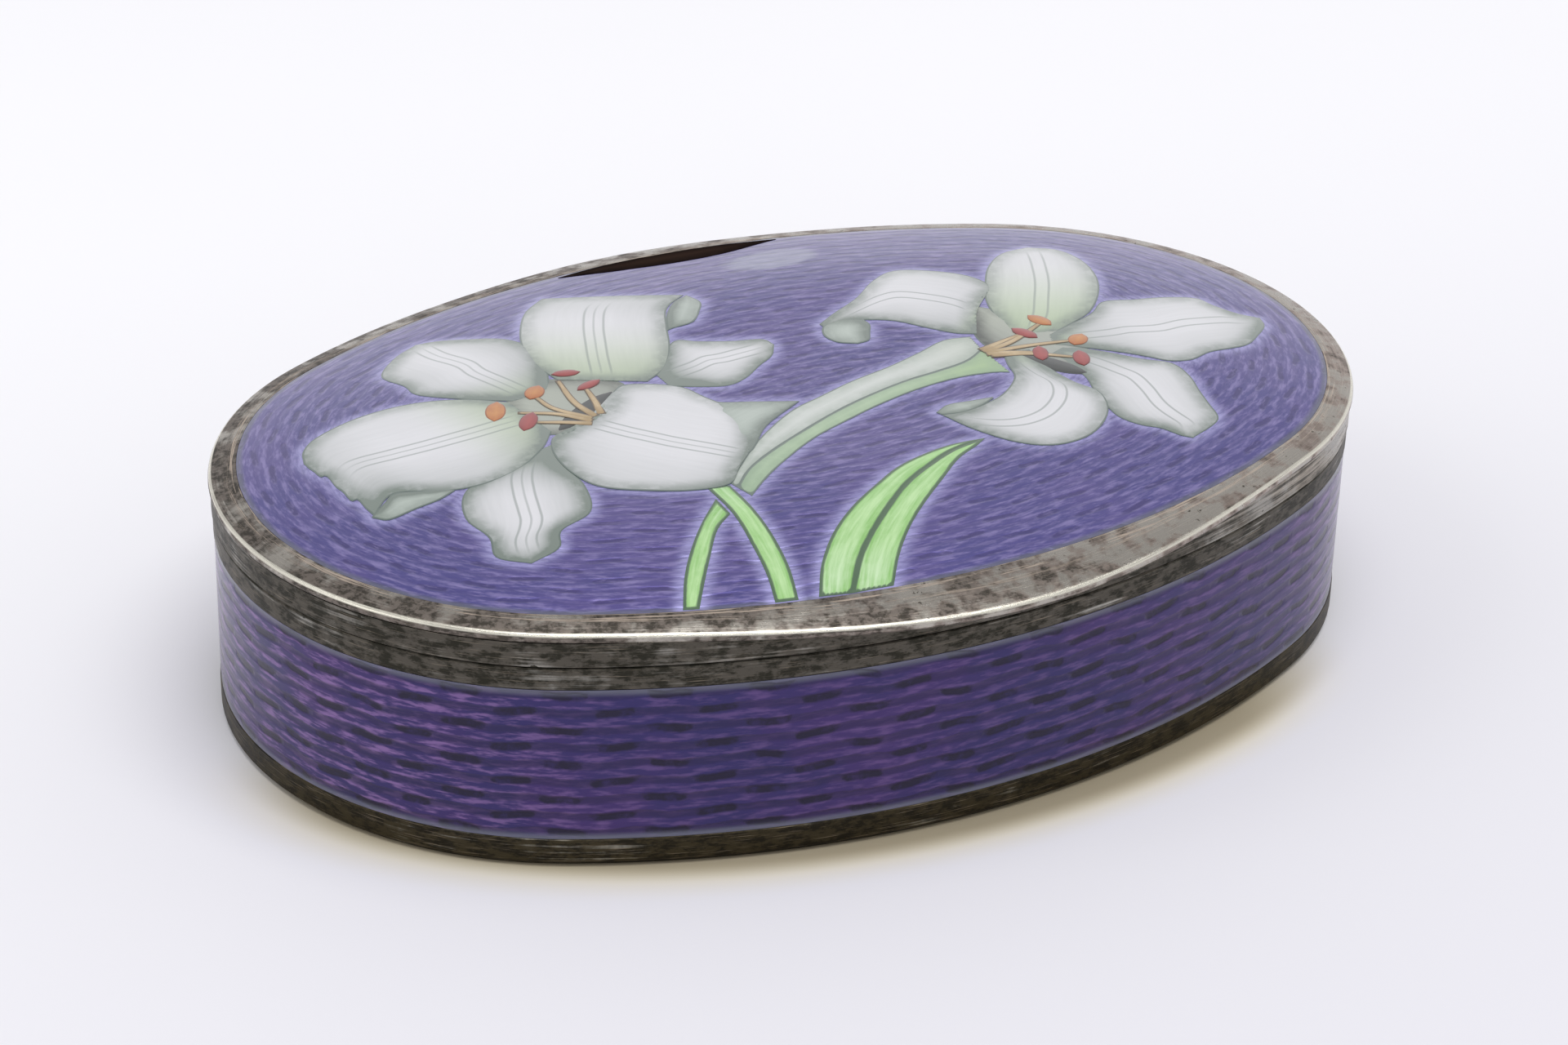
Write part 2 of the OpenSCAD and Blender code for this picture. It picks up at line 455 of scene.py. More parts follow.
@dataclass(frozen=True)
class TarnishedSilver:
    """Old silver: dark in its recesses, with streaks, specks and bright worn places.

    Bare metal goes from bright to warm, and the tarnish on it from film to dark. Cover is how
    much is tarnished, and streaky how far streaks rule over patches. A painted highlight takes
    tarnish away towards the right end, by the amount cleaner, from the place right_sheen_from.
    Edge is the height of a worn edge and half its width, in millimetres, on the piece's own map; a
    painted highlight line runs along it.
    """

    name: str
    pattern: Pattern
    bright: Colour = (0.40, 0.39, 0.35)
    warm: Colour = (0.36, 0.28, 0.235)
    dark: Colour = (0.036, 0.034, 0.026)
    film: Colour = (0.125, 0.118, 0.098)
    cover: float = 0.5
    gloss: float = 0.27
    streaky: float = 0.55
    grain: float = 1.0
    right_sheen: float = 0.0
    right_sheen_from: float = 0.0
    scratch: Colour = (0.78, 0.71, 0.60)
    film_scratch: Colour = (0.30, 0.25, 0.19)
    edge: Point | None = None
    edge_highlight: Colour = (0.80, 0.77, 0.66)
    scuff: Colour = (0.72, 0.60, 0.49)

    def build(self) -> bpy.types.Material:
        """Makes the material."""
        s = Shader(self.name)
        place = s.place()
        if self.pattern is Pattern.GIRTH:
            line = s.scaled(s.uv(), (0.16, 7.0, 1.0))
            fine = s.scaled(s.uv(), (0.5, 26.0, 1.0))
        else:
            line = s.scaled(place, (0.16, 0.16, 7.0))
            fine = s.scaled(place, (0.5, 0.5, 26.0))
        streak = s.noise(line, 1.0, 5.0, 0.6)
        scratch = s.noise(fine, 1.0, 3.0, 0.6)
        patch = s.noise(place, 0.42 * self.grain, 5.0, 0.6)
        speck = s.noise(s.scaled(place, (0.7, 0.7, 1.6)), 1.7 * self.grain, 4.0, 0.7)
        amount = s.plus(s.times(streak, self.streaky), s.times(patch, 1.0 - self.streaky))
        level = 0.66 - 0.32 * self.cover
        x, _, _ = s.split(place)
        # Painted highlight: tarnish is taken away towards the right end of the box.
        amount = s.minus(amount, s.ease(x, self.right_sheen_from, 24.0, 0.0, self.right_sheen))
        tarnish = s.ease(amount, level - 0.08, level + 0.09)
        tarnish = s.larger(tarnish, s.ease(speck, 0.63, 0.69))
        base = s.mix(s.ease(patch, 0.44, 0.60), self.bright, self.warm)
        base = s.mix(s.ease(scratch, 0.55, 0.70, 0.0, 0.5), base, self.scratch)
        film = s.mix(s.ease(speck, 0.42, 0.60), self.film, self.dark)
        film = s.mix(s.ease(scratch, 0.58, 0.72, 0.0, 0.6), film, self.film_scratch)
        colour = s.mix(tarnish, base, film)
        # Worn edge, also given a painted highlight line along it.
        if self.edge is not None:
            _, across, _ = s.split(s.uv())
            middle, half_width = self.edge
            near = s.size_of(s.minus(across, middle))
            worn = s.ease(near, half_width, half_width * 2.2, 1.0, 0.0)
            worn = s.times(worn, s.ease(streak, 0.32, 0.48, 0.35, 1.0))
            tarnish = s.times(tarnish, s.minus(1.0, worn))
            colour = s.mix(worn, colour, self.edge_highlight)
            scuff = s.times(s.ease(across, 11.0, 11.4), s.ease(streak, 0.50, 0.57))
            scuff = s.times(scuff, s.ease(scratch, 0.40, 0.55))
            colour = s.mix(s.times(scuff, 0.85), colour, self.scuff)
        height = s.plus(s.times(scratch, 0.5), s.times(speck, 0.5))
        s.set(Base_Color=colour, Metallic=1.0,
              Roughness=s.ease(tarnish, 0.0, 1.0, self.gloss, self.gloss + 0.22),
              Normal=s.bump(height, 0.03, 0.8))
        return s.material


@dataclass(frozen=True)
class Gilding:
    """Satin silver-gilt, with fine wiping marks and a little wear."""

    name: str = "silver_gilt"
    gold: Colour = (0.83, 0.60, 0.25)
    worn: Colour = (0.70, 0.60, 0.42)
    wiped: Colour = (0.42, 0.27, 0.10)

    def build(self) -> bpy.types.Material:
        """Makes the material."""
        s = Shader(self.name)
        place = s.place()
        cloud = s.noise(place, 0.25, 5.0, 0.6)
        wipe = s.noise(s.scaled(place, (0.35, 5.0, 5.0)), 1.0, 4.0, 0.6)
        grain = s.noise(place, 9.0, 2.0)
        colour = s.mix(s.ease(cloud, 0.40, 0.66), self.gold, self.worn)
        colour = s.mix(s.ease(wipe, 0.56, 0.72, 0.0, 0.45), colour, self.wiped)
        height = s.plus(s.times(wipe, 0.6), s.times(grain, 0.4))
        s.set(Base_Color=colour, Metallic=1.0, Roughness=s.ease(cloud, 0.3, 0.7, 0.24, 0.40),
              Normal=s.bump(height, 0.02, 0.7))
        return s.material


@dataclass(frozen=True)
class TurnedEnamel:
    """Translucent violet enamel over engine-turned silver.

    Fine wavy lines run round the box, and they deepen into dark dashes that stand like
    courses of bricks. Pitch is the distance between the lines, wave the distance between
    dashes and swing how far the lines sway, in millimetres. Ends are the band's two edges.
    Painted glints, a painted highlight, stand between the dashes; front is how much of them
    is left between the ends of the box. A halo lightens the enamel round the painting; with
    it come painted highlight streaks all over and a painted reflection, a pale spot at one
    place.
    """

    name: str
    pitch: float
    wave: float
    swing: float
    light: Colour = (0.050, 0.025, 0.135)
    deep: Colour = (0.012, 0.008, 0.032)
    blue: Colour = (0.030, 0.022, 0.120)
    glint_colour: Colour = (0.22, 0.12, 0.31)
    border: Colour = (0.15, 0.16, 0.20)
    fringe: Colour = (0.42, 0.40, 0.72)
    reflection_spot_colour: Colour = (0.46, 0.48, 0.58)
    contrast: float = 1.0
    glint_amount: float = 0.6
    relief: float = 0.5
    gloss: float = 0.55
    ends: Point = (0.0, 6.6)
    lines: float = 0.42
    front: float = 1.0
    halo: bool = False
    reflection_spot: Point = (5.4, 11.9)
    reflection_spot_size: Point = (2.5, 1.5)

    def waves(self, s: Shader) -> tuple[Socket, Socket, Socket]:
        """The engine turning.

        Args:
            s: The material under construction.

        Returns:
            The dashes, the fine lines that join them, and the distance up the band or in
            from the rim.
        """
        along, across, _ = s.split(s.uv())
        drift = s.minus(s.noise(s.place(), 0.6, 3.0), 0.5)
        turn = s.times(along, 2 * math.pi / self.wave)
        turn = s.plus(turn, s.times(drift, 2.4))
        bend = s.times(s.math("SINE", turn), self.swing)
        rows = s.plus(s.plus(across, s.times(drift, 0.5 * self.pitch)), bend)
        row = s.math("COSINE", s.times(rows, math.pi / self.pitch))
        size = s.size_of(row)
        course = s.clamp(s.times(s.math("COSINE", turn), 1.5), -1.0, 1.0)
        dash = s.times(s.times(row, s.math("POWER", size, 4.0)), course)
        return s.ease(dash, 0.0, 0.72), s.ease(size, 0.60, 1.0), across

    def halo_and_painted_light(self, s: Shader, colour: Socket, cloud: Socket) -> Socket:
        """Paints highlight streaks, a lighter fringe round the painting and a pale reflection.

        Args:
            s: The material under construction.
            colour: The enamel's colour.
            cloud: The noise that makes the painted reflection uneven.

        Returns:
            The lightened colour's socket.
        """
        # Painted highlight streaks, lengthwise, all over the lid.
        glint_streaks = s.noise(s.scaled(s.uv(), (1.1, 5.5, 1.0)), 1.0, 3.0, 0.6)
        colour = s.mix(s.ease(glint_streaks, 0.50, 0.72, 0.0, 0.4), colour, self.glint_colour)
        # A lighter fringe round the painting, streaked by the same painted highlights.
        fringe = s.times(s.attribute("halo"), s.ease(glint_streaks, 0.32, 0.6, 0.4, 0.95))
        colour = s.mix(fringe, colour, self.fringe)
        # Painted reflection: a pale spot near the back of the lid.
        x, y, _ = s.split(s.place())
        x = s.over(s.minus(x, self.reflection_spot[0]), self.reflection_spot_size[0])
        y = s.over(s.minus(y, self.reflection_spot[1]), self.reflection_spot_size[1])
        apart = s.plus(s.length(x, y), s.minus(cloud, 0.5))
        return s.mix(s.ease(apart, 1.0, 0.7, 0.0, 0.45), colour, self.reflection_spot_colour)

    def build(self) -> bpy.types.Material:
        """Makes the material."""
        s = Shader(self.name)
        dash, line, across = self.waves(s)
        place = s.place()
        cloud = s.noise(place, 0.22, 4.0, 0.6)
        mottle = s.noise(place, 1.3, 4.0, 0.65)
        glint = s.noise(s.scaled(s.uv(), (0.8, 4.2, 1.0)), 1.0, 3.0, 0.6)
        colour = s.mix(s.ease(cloud, 0.36, 0.62), self.light, self.blue)
        gap = s.minus(1.0, s.larger(dash, s.times(line, 0.6)))
        # Painted highlight: glints in the glint colour between the dashes, full at the ends of the
        # box and weaker between them, by the factor front.
        x, _, _ = s.split(place)
        bend = s.ease(s.size_of(x), 14.0, 23.0, self.front, 1.0)
        glint_mask = s.times(s.times(gap, bend), s.ease(glint, 0.44, 0.66))
        colour = s.mix(s.times(glint_mask, self.glint_amount), colour, self.glint_colour)
        shade = s.larger(s.times(dash, s.ease(mottle, 0.30, 0.55, 0.5, 1.0)),
                         s.times(line, self.lines))
        colour = s.mix(s.times(shade, self.contrast), colour, self.deep)
        low, high = self.ends
        margin = s.smaller(s.minus(across, low), s.minus(high, across))
        colour = s.mix(s.ease(margin, 0.05, 0.34, 0.75, 0.0), colour, self.border)
        if self.halo:
            colour = self.halo_and_painted_light(s, colour, cloud)
        relief = s.plus(s.times(dash, 0.6), s.times(line, 0.4))
        s.set(Base_Color=colour, Metallic=0.40, Roughness=0.38,
              Normal=s.bump(s.minus(1.0, relief), 0.12, self.relief),
              Coat_Weight=self.gloss, Coat_Roughness=0.07, Coat_IOR=1.45)
        s.plug(s.surface.inputs["Specular IOR Level"], 0.12)
        return s.material


@dataclass(frozen=True)
class EnamelPaint:
    """Painted enamel under the glaze: a body colour, a shade, a fine outline and veins.

    Light is the body colour, base the colour at the root, and veins is how far two veins lie
    from the middle line, in millimetres. Midrib is the strength of a third one between them.
    """

    name: str
    light: Colour
    shade: Colour
    base: Colour
    line: Colour = (0.10, 0.14, 0.12)
    line_width: float = 0.10
    vein: Colour = (0.22, 0.26, 0.24)
    veins: float = 0.0
    midrib: float = 0.0
    streaks: float = 0.3
    gloss: float = 1.0

    def build(self) -> bpy.types.Material:
        """Makes the material."""
        s = Shader(self.name)
        rim, across = s.attribute("rim"), s.attribute("across")
        along, dark = s.attribute("along"), s.attribute("dark")
        root = s.attribute("root")
        brush_place = s.tree.nodes.new("ShaderNodeCombineXYZ")
        s.plug(brush_place.inputs[0], s.times(along, 0.35))
        s.plug(brush_place.inputs[1], s.times(across, 5.0))
        brush = s.noise(brush_place.outputs[0], 1.0, 3.0, 0.6)
        mottle = s.noise(s.place(), 1.6, 4.0, 0.6)
        colour = s.mix(root, self.light, self.base)
        soft = s.times(s.ease(rim, 0.0, 1.0, 0.55, 0.0), s.ease(mottle, 0.3, 0.6, 0.6, 1.1))
        amount = s.plus(dark, soft)
        amount = s.plus(amount, s.times(s.minus(brush, 0.5), self.streaks))
        colour = s.mix(s.clamp(amount), colour, self.shade)
        if self.veins > 0.0:
            apart = s.size_of(s.minus(s.size_of(across), self.veins))
            vein = s.ease(apart, 0.02, 0.08, 0.6, 0.0)
            middle = s.ease(s.size_of(across), 0.02, 0.07, self.midrib, 0.0)
            vein = s.larger(vein, middle)
            vein = s.times(vein, s.times(s.ease(rim, 0.3, 0.7), s.attribute("veined")))
            colour = s.mix(vein, colour, self.vein)
        wobble = s.plus(rim, s.times(s.minus(mottle, 0.5), 0.08))
        outline = s.ease(wobble, 0.5 * self.line_width, self.line_width, 0.9, 0.0)
        colour = s.mix(outline, colour, self.line)
        s.set(Base_Color=colour, Roughness=0.8 - 0.5 * self.gloss, Coat_Weight=self.gloss,
              Coat_Roughness=0.07, Coat_IOR=1.5, Normal=s.bump(brush, 0.01, 0.3))
        s.plug(s.surface.inputs["Specular IOR Level"], 0.5 * self.gloss)
        return s.material


@dataclass(frozen=True)
class Ring:
    """A band swept round the oval from a flat section.

    The section's points are (distance outside the outline, height), in millimetres, and
    each corner named in rounding is rounded to its radius.
    """

    section: tuple[Point, ...]
    rounding: tuple[tuple[int, float, int], ...] = ()
    end_steps: int = 96
    side_steps: int = 112

    def sweep(self) -> bmesh.types.BMesh:
        """Sweeps the section round the four arcs.

        Returns:
            The closed band, in millimetres.
        """
        bm = bmesh.new()
        corner = bm.verts.layers.int.new("corner")
        theta = OVAL.end_angle
        out = Vector((math.cos(theta), -math.sin(theta), 0.0))
        centre = Vector((OVAL.end_x, 0.0, 0.0))
        verts = []
        for index, (offset, height) in enumerate(self.section):
            place = centre + out * (OVAL.end_radius + offset) + Vector((0.0, 0.0, height))
            vert = bm.verts.new(place)
            vert[corner] = index + 1
            verts.append(vert)
        rib: list = verts + [bm.edges.new((a, b)) for a, b in zip(verts, verts[1:] + verts[:1])]
        side = math.pi - 2 * theta
        arcs = (((OVAL.end_x, 0.0), 2 * theta, self.end_steps),
                ((0.0, -OVAL.side_y), side, self.side_steps),
                ((-OVAL.end_x, 0.0), 2 * theta, self.end_steps),
                ((0.0, OVAL.side_y), side, self.side_steps))
        for (x, y), turn, steps in arcs:
            spun = bmesh.ops.spin(bm, geom=rib, cent=(x, y, 0.0), axis=(0.0, 0.0, 1.0),
                                  angle=turn, steps=steps, use_merge=False, use_duplicate=False)
            rib = spun["geom_last"]
        bmesh.ops.remove_doubles(bm, verts=bm.verts, dist=WELD)
        for index, radius, segments in self.rounding:
            loop = [e for e in bm.edges if e.verts[0][corner] == e.verts[1][corner] == index + 1]
            bmesh.ops.bevel(bm, geom=loop, offset=radius, offset_type="OFFSET", affect="EDGES",
                            segments=segments, profile=0.5, material=-1, clamp_overlap=True)
        bmesh.ops.recalc_face_normals(bm, faces=bm.faces)
        return bm


def close_below(bm: bmesh.types.BMesh, depth: float) -> None:
    """Turns an open sheet into a closed solid with upright sides and a flat filling below.

    Args:
        bm: The sheet, in millimetres.
        depth: How far the sides go down, in millimetres.
    """
    sides = bmesh.ops.extrude_edge_only(bm, edges=[e for e in bm.edges if e.is_boundary])["geom"]
    hem = [v for v in sides if isinstance(v, bmesh.types.BMVert)]
    bmesh.ops.translate(bm, vec=(0.0, 0.0, -depth), verts=hem)
    bmesh.ops.holes_fill(bm, edges=[e for e in bm.edges if e.is_boundary], sides=0)
    bmesh.ops.recalc_face_normals(bm, faces=bm.faces)


def plan_tree(places: Sequence[Vector]) -> KDTree:
    """A tree that finds the nearest of some places, seen from above.

    Args:
        places: The places.

    Returns:
        The tree, at height 0.
    """
    tree = KDTree(len(places))
    for index, place in enumerate(places):
        tree.insert((place.x, place.y, 0.0), index)
    tree.balance()
    return tree


def bearing(azimuth: float, elevation: float) -> Vector:
    """The direction from the box to something that looks at it.

    Args:
        azimuth: Degrees round from the front, to the right.
        elevation: Degrees above the table.

    Returns:
        The direction, of length 1.
    """
    a, e = math.radians(azimuth), math.radians(elevation)
    return Vector((math.sin(a) * math.cos(e), -math.cos(a) * math.cos(e), math.sin(e)))


def add_object(name: str, data: bpy.types.ID) -> bpy.types.Object:
    """Puts a new object into the scene.

    Args:
        name: The object's name.
        data: Its mesh, lamp or camera.

    Returns:
        The object.
    """
    item = bpy.data.objects.new(name, data)
    bpy.context.scene.collection.objects.link(item)
    return item


def add_mesh(name: str, bm: bmesh.types.BMesh) -> bpy.types.Object:
    """Puts a mesh into the scene.

    Args:
        name: The object's name.
        bm: The mesh, which is used up.

    Returns:
        The object.
    """
    mesh = bpy.data.meshes.new(name)
    bm.to_mesh(mesh)
    bm.free()
    return add_object(name, mesh)


def girth_map(bm: bmesh.types.BMesh, rows: Callable[[Vector], float]) -> None:
    """Gives a mesh in millimetres a map of distance round the outline against another number.

    Args:
        bm: The mesh.
        rows: Gives the second number for a vertex's place.
    """
    layer = bm.loops.layers.uv.new("girth")
    whole = OVAL.perimeter
    for face in bm.faces:
        middle = face.calc_center_median()
        back = middle.y >= 0.0
        anchor = OVAL.station(middle.x, middle.y, back)
        for loop in face.loops:
            place = loop.vert.co
            travel = OVAL.station(place.x, place.y, back)
            travel += whole * round((anchor - travel) / whole)
            loop[layer].uv = (travel, rows(place))


def finish_piece(bm: bmesh.types.BMesh, name: str, material: bpy.types.Material, body: Body,
                 sharp: float = 40.0) -> bpy.types.Object:
    """Turns a mesh in millimetres into a piece of the box.

    Args:
        bm: The mesh, which is used up.
        name: The piece's name.
        material: Its material.
        body: The body that it rides on.
        sharp: Edges that turn by more than this many degrees stay crisp.

    Returns:
        The piece's object.
    """
    bmesh.ops.scale(bm, vec=(MM, MM, MM), verts=bm.verts)
    for face in bm.faces:
        face.smooth = True
    for edge in bm.edges:
        edge.smooth = edge.calc_face_angle(0.0) < math.radians(sharp)
    piece = add_mesh(name, bm)
    piece.data.materials.append(material)
    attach(piece, body.value)
    LOG.info("%s: %d faces on %s", name, len(piece.data.polygons), body.value)
    return piece


def dress(node: str, material: bpy.types.Material) -> None:
    """Gives a CAD node its finish.

    Args:
        node: The node's name.
        material: The material that all its faces take.
    """
    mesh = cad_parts[node].data
    mesh.materials.clear()
    mesh.materials.append(material)
    LOG.info("%s: dressed in %s", node, material.name)


def spline(points: Sequence[Point], count: int) -> list[Vector]:
    """Points evenly spread along a smooth curve through a few given ones.

    Args:
        points: The places that the curve goes through.
        count: How many points to return.

    Returns:
        The points, from the first place to the last.
    """
    knots = [Vector((*p, 0.0)) for p in points]
    first = knots[0] * 2 - knots[1]
    last = knots[-1] * 2 - knots[-2]
    knots = [first, *knots, last]
    dense = []
    for a, b, c, d in zip(knots, knots[1:], knots[2:], knots[3:]):
        for step in range(16):
            t = step / 16
            dense.append(0.5 * (2 * b + (c - a) * t + (2 * a - 5 * b + 4 * c - d) * t**2
                                + (3 * b - a - 3 * c + d) * t**3))
    dense.append(knots[-2])
    travel = [0.0]
    for a, b in zip(dense, dense[1:]):
        travel.append(travel[-1] + (b - a).length)
    result, index = [], 0
    for step in range(count):
        wanted = travel[-1] * step / (count - 1)
        while index < len(dense) - 2 and travel[index + 1] < wanted:
            index += 1
        span = max(travel[index + 1] - travel[index], 1e-9)
        result.append(dense[index].lerp(dense[index + 1], (wanted - travel[index]) / span))
    return result


@dataclass(frozen=True)
class Stroke:
    """One painted shape, between two edges that run from its root to its tip.

    The edges are plan outlines in millimetres. The shades, from 0 to 1, darken the root,
    the tip, the left side and the right side. Leaf is how far the root colour reaches, swell
    how high the paint stands and ragged how far the teeth of a torn tip stand out.
    """

    left: tuple[Point, ...]
    right: tuple[Point, ...]
    layer: int = 0
    shades: tuple[float, float, float, float] = (0.25, 0.25, 0.15, 0.15)
    leaf: float = 0.3
    veined: float = 1.0
    swell: float = 0.02
    ragged: float = 0.0
    rows: int = 44
    columns: int = 26

    def edges(self) -> tuple[list[Vector], list[Vector]]:
        """Both edges as evenly spread points."""
        return spline(self.left, self.rows + 1), spline(self.right, self.rows + 1)

    def teeth(self, v: float) -> Vector:
        """How far the edge of a ragged tip stands out.

        Args:
            v: Place across the tip, from 0 to 1.

        Returns:
            The step to take from the plain edge, in millimetres.
        """
        wave = math.sin(13.0 * v) + 0.6 * math.sin(29.0 * v + 1.0)
        left, _ = self.edges()
        ahead = (left[-1] - left[-4]).normalized()
        return ahead * self.ragged * wave * smooth(v, 0.0, 0.12) * smooth(v, 1.0, 0.88)

    def paint(self, bm: bmesh.types.BMesh) -> None:
        """Adds the shape to a painted layer.

        Args:
            bm: The layer's mesh, in millimetres.
        """
        layers = {name: bm.verts.layers.float[name] for name in Painting.NUMBERS}
        left, right = self.edges()
        made = bmesh.ops.create_grid(bm, x_segments=self.rows, y_segments=self.columns, size=0.5)
        outline = left + right + [left[0].lerp(right[0], t / 8) for t in range(9)]
        teeth = [self.teeth(t / self.columns) for t in range(self.columns + 1)]
        outline += [left[-1].lerp(right[-1], t / self.columns) + tooth
                    for t, tooth in enumerate(teeth)]
        tree = plan_tree(outline)
        span = sum((b - a).length for a, b in zip(left, left[1:]))
        for vert in made["verts"]:
            row = round((vert.co.x + 0.5) * self.rows)
            v = min(1.0, max(0.0, vert.co.y + 0.5))
            u = row / self.rows
            place = left[row].lerp(right[row], v)
            place += teeth[round(v * self.columns)] * smooth(u, 0.8, 1.0)
            width = (right[row] - left[row]).length
            rim = min(tree.find(place)[2], v * width, (1 - v) * width)
            rise = self.swell * math.sqrt(min(1.0, rim / 0.9))
            height = LEVELS.enamel_top(OVAL.depth(place.x, place.y))
            height = height + Painting.LIFT + Painting.STEP * self.layer + rise
            vert.co = (place.x, place.y, height)
            vert[layers["rim"]] = rim
            vert[layers["across"]] = (v - 0.5) * width
            vert[layers["along"]] = u * span
            vert[layers["veined"]] = self.veined * smooth(u, 0.04, 0.14) * smooth(u, 0.93, 0.75)
            vert[layers["root"]] = smooth(u, self.leaf, 0.0)
            reach = (smooth(u, 0.45, 0.0), smooth(u, 0.6, 1.0), smooth(v, 0.5, 0.0),
                     smooth(v, 0.5, 1.0))
            dark = sum(shade * share for shade, share in zip(self.shades, reach))
            vert[layers["dark"]] = min(1.0, dark)


def ribbon(spine: Sequence[Point], start: float, end: float, layer: int, **rest: float) -> Stroke:
    """A stroke of the brush along a line.

    Args:
        spine: The line's points, in millimetres.
        start: Half-width at the line's start.
        end: Half-width at its end.
        layer: Which layer of paint it is on.
        rest: Any other fields of the stroke.

    Returns:
        The stroke.
    """
    line = spline(spine, 9)
    sides: tuple[list[Point], list[Point]] = ([], [])
    for index, place in enumerate(line):
        ahead = line[min(index + 1, 8)] - line[max(index - 1, 0)]
        half_width = start + (end - start) * index / 8
        across = Vector((-ahead.y, ahead.x, 0.0)).normalized() * half_width
        sides[0].append(tuple((place + across).xy))
        sides[1].append(tuple((place - across).xy))
    return Stroke(tuple(sides[0]), tuple(sides[1]), layer, rows=18, columns=6, veined=0.0, **rest)


def anther(a: Point, b: Point, half_width: float, layer: int) -> Stroke:
    """A pointed oval dab of paint.

    Args:
        a: Where the dab starts.
        b: Where it ends.
        half_width: Half its greatest width, in millimetres.
        layer: Which layer of paint it is on.

    Returns:
        The stroke.
    """
    start, end = Vector((*a, 0.0)), Vector((*b, 0.0))
    across = Vector((a[1] - b[1], b[0] - a[0], 0.0)).normalized() * half_width
    sides = []
    for sign in (1, -1):
        bulge = [start.lerp(end, t) + across * sign * width
                 for t, width in ((0.2, 0.75), (0.5, 1), (0.8, 0.75))]
        sides.append((a, *(tuple(p.xy) for p in bulge), b))
    return Stroke(sides[0], sides[1], layer, rows=14, columns=8, veined=0.0, swell=0.04,
                  shades=(0.3, 0.3, 0.15, 0.15))


@dataclass
class Painting:
    """Layers of paint on the lid.

    Lift is the first layer's height above the enamel, step the height between layers and
    thickness how far each one reaches down, in millimetres. Numbers are what the paint's
    material reads at each vertex.
    """

    NUMBERS = ("rim", "across", "along", "veined", "root", "dark")
    LIFT = 0.012
    STEP = 0.005
    THICKNESS = 0.10
    places: list[Vector] = field(default_factory=list)

    def layer(self, name: str, strokes: Iterable[Stroke], paint: EnamelPaint,
              cast: bool = True) -> bpy.types.Object:
        """Makes one colour's strokes as a piece of the lid.

        Args:
            name: The piece's name.
            strokes: Its strokes.
            paint: Its paint.
            cast: Whether the enamel round the strokes is lighter.

        Returns:
            The piece's object.
        """
        bm = bmesh.new()
        for number in self.NUMBERS:
            bm.verts.layers.float.new(number)
        for stroke in strokes:
            stroke.paint(bm)
        bmesh.ops.remove_doubles(bm, verts=bm.verts, dist=WELD)
        if cast:
            self.places += [v.co.copy() for v in bm.verts]
        close_below(bm, self.THICKNESS)
        return finish_piece(bm, name, paint.build(), Body.LID)


@dataclass(frozen=True)
class BodyMount:
    """The box's silver mount: its two rims, the band between them and the plate below."""

    rims: TarnishedSilver = TarnishedSilver("tarnished_silver_body", Pattern.WALL, cover=0.90,
                                            film=(0.105, 0.095, 0.078))
    foot: TarnishedSilver = TarnishedSilver("tarnished_silver_foot", Pattern.WALL, cover=1.0,
                                            warm=(0.40, 0.29, 0.13), film=(0.060, 0.050, 0.031),
                                            dark=(0.026, 0.023, 0.017))
    inside: Gilding = Gilding("silver_gilt_box")

    def build(self) -> None:
        """Dresses the mount's pieces."""
        dress("upper_rim", self.rims.build())
        dress("base_rim", self.foot.build())
        gilt = self.inside.build()
        for node in ("base_plate", "body_band", "gilt_bezel", "catch_ridge"):
            dress(node, gilt)


@dataclass(frozen=True)
class BodyEnamel:
    """The enamelled band round the box."""

    inset: float = 0.15
    thickness: float = 0.35
    # Painted glints on the band, weaker at its front between the ends.
    finish: TurnedEnamel = TurnedEnamel("violet_enamel_body", 0.76, OVAL.perimeter / 34, 0.05,
                                        glint_colour=(0.32, 0.18, 0.43), glint_amount=0.65, relief=0.8,
                                        front=0.35, ends=(LEVELS.base_rim_top, LEVELS.band_top))

    def build(self) -> bpy.types.Object:
        """Makes the band.

        Returns:
            The band's object.
        """
        low, high = LEVELS.base_rim_top, LEVELS.band_top
        outer, inner = -self.inset, -self.inset - self.thickness
        bm = Ring(((inner, low), (outer, low), (outer, high), (inner, high))).sweep()
        girth_map(bm, lambda place: place.z)
        piece = finish_piece(bm, "body_enamel_band", self.finish.build(), Body.BOX)
        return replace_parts(piece, "body_enamel")


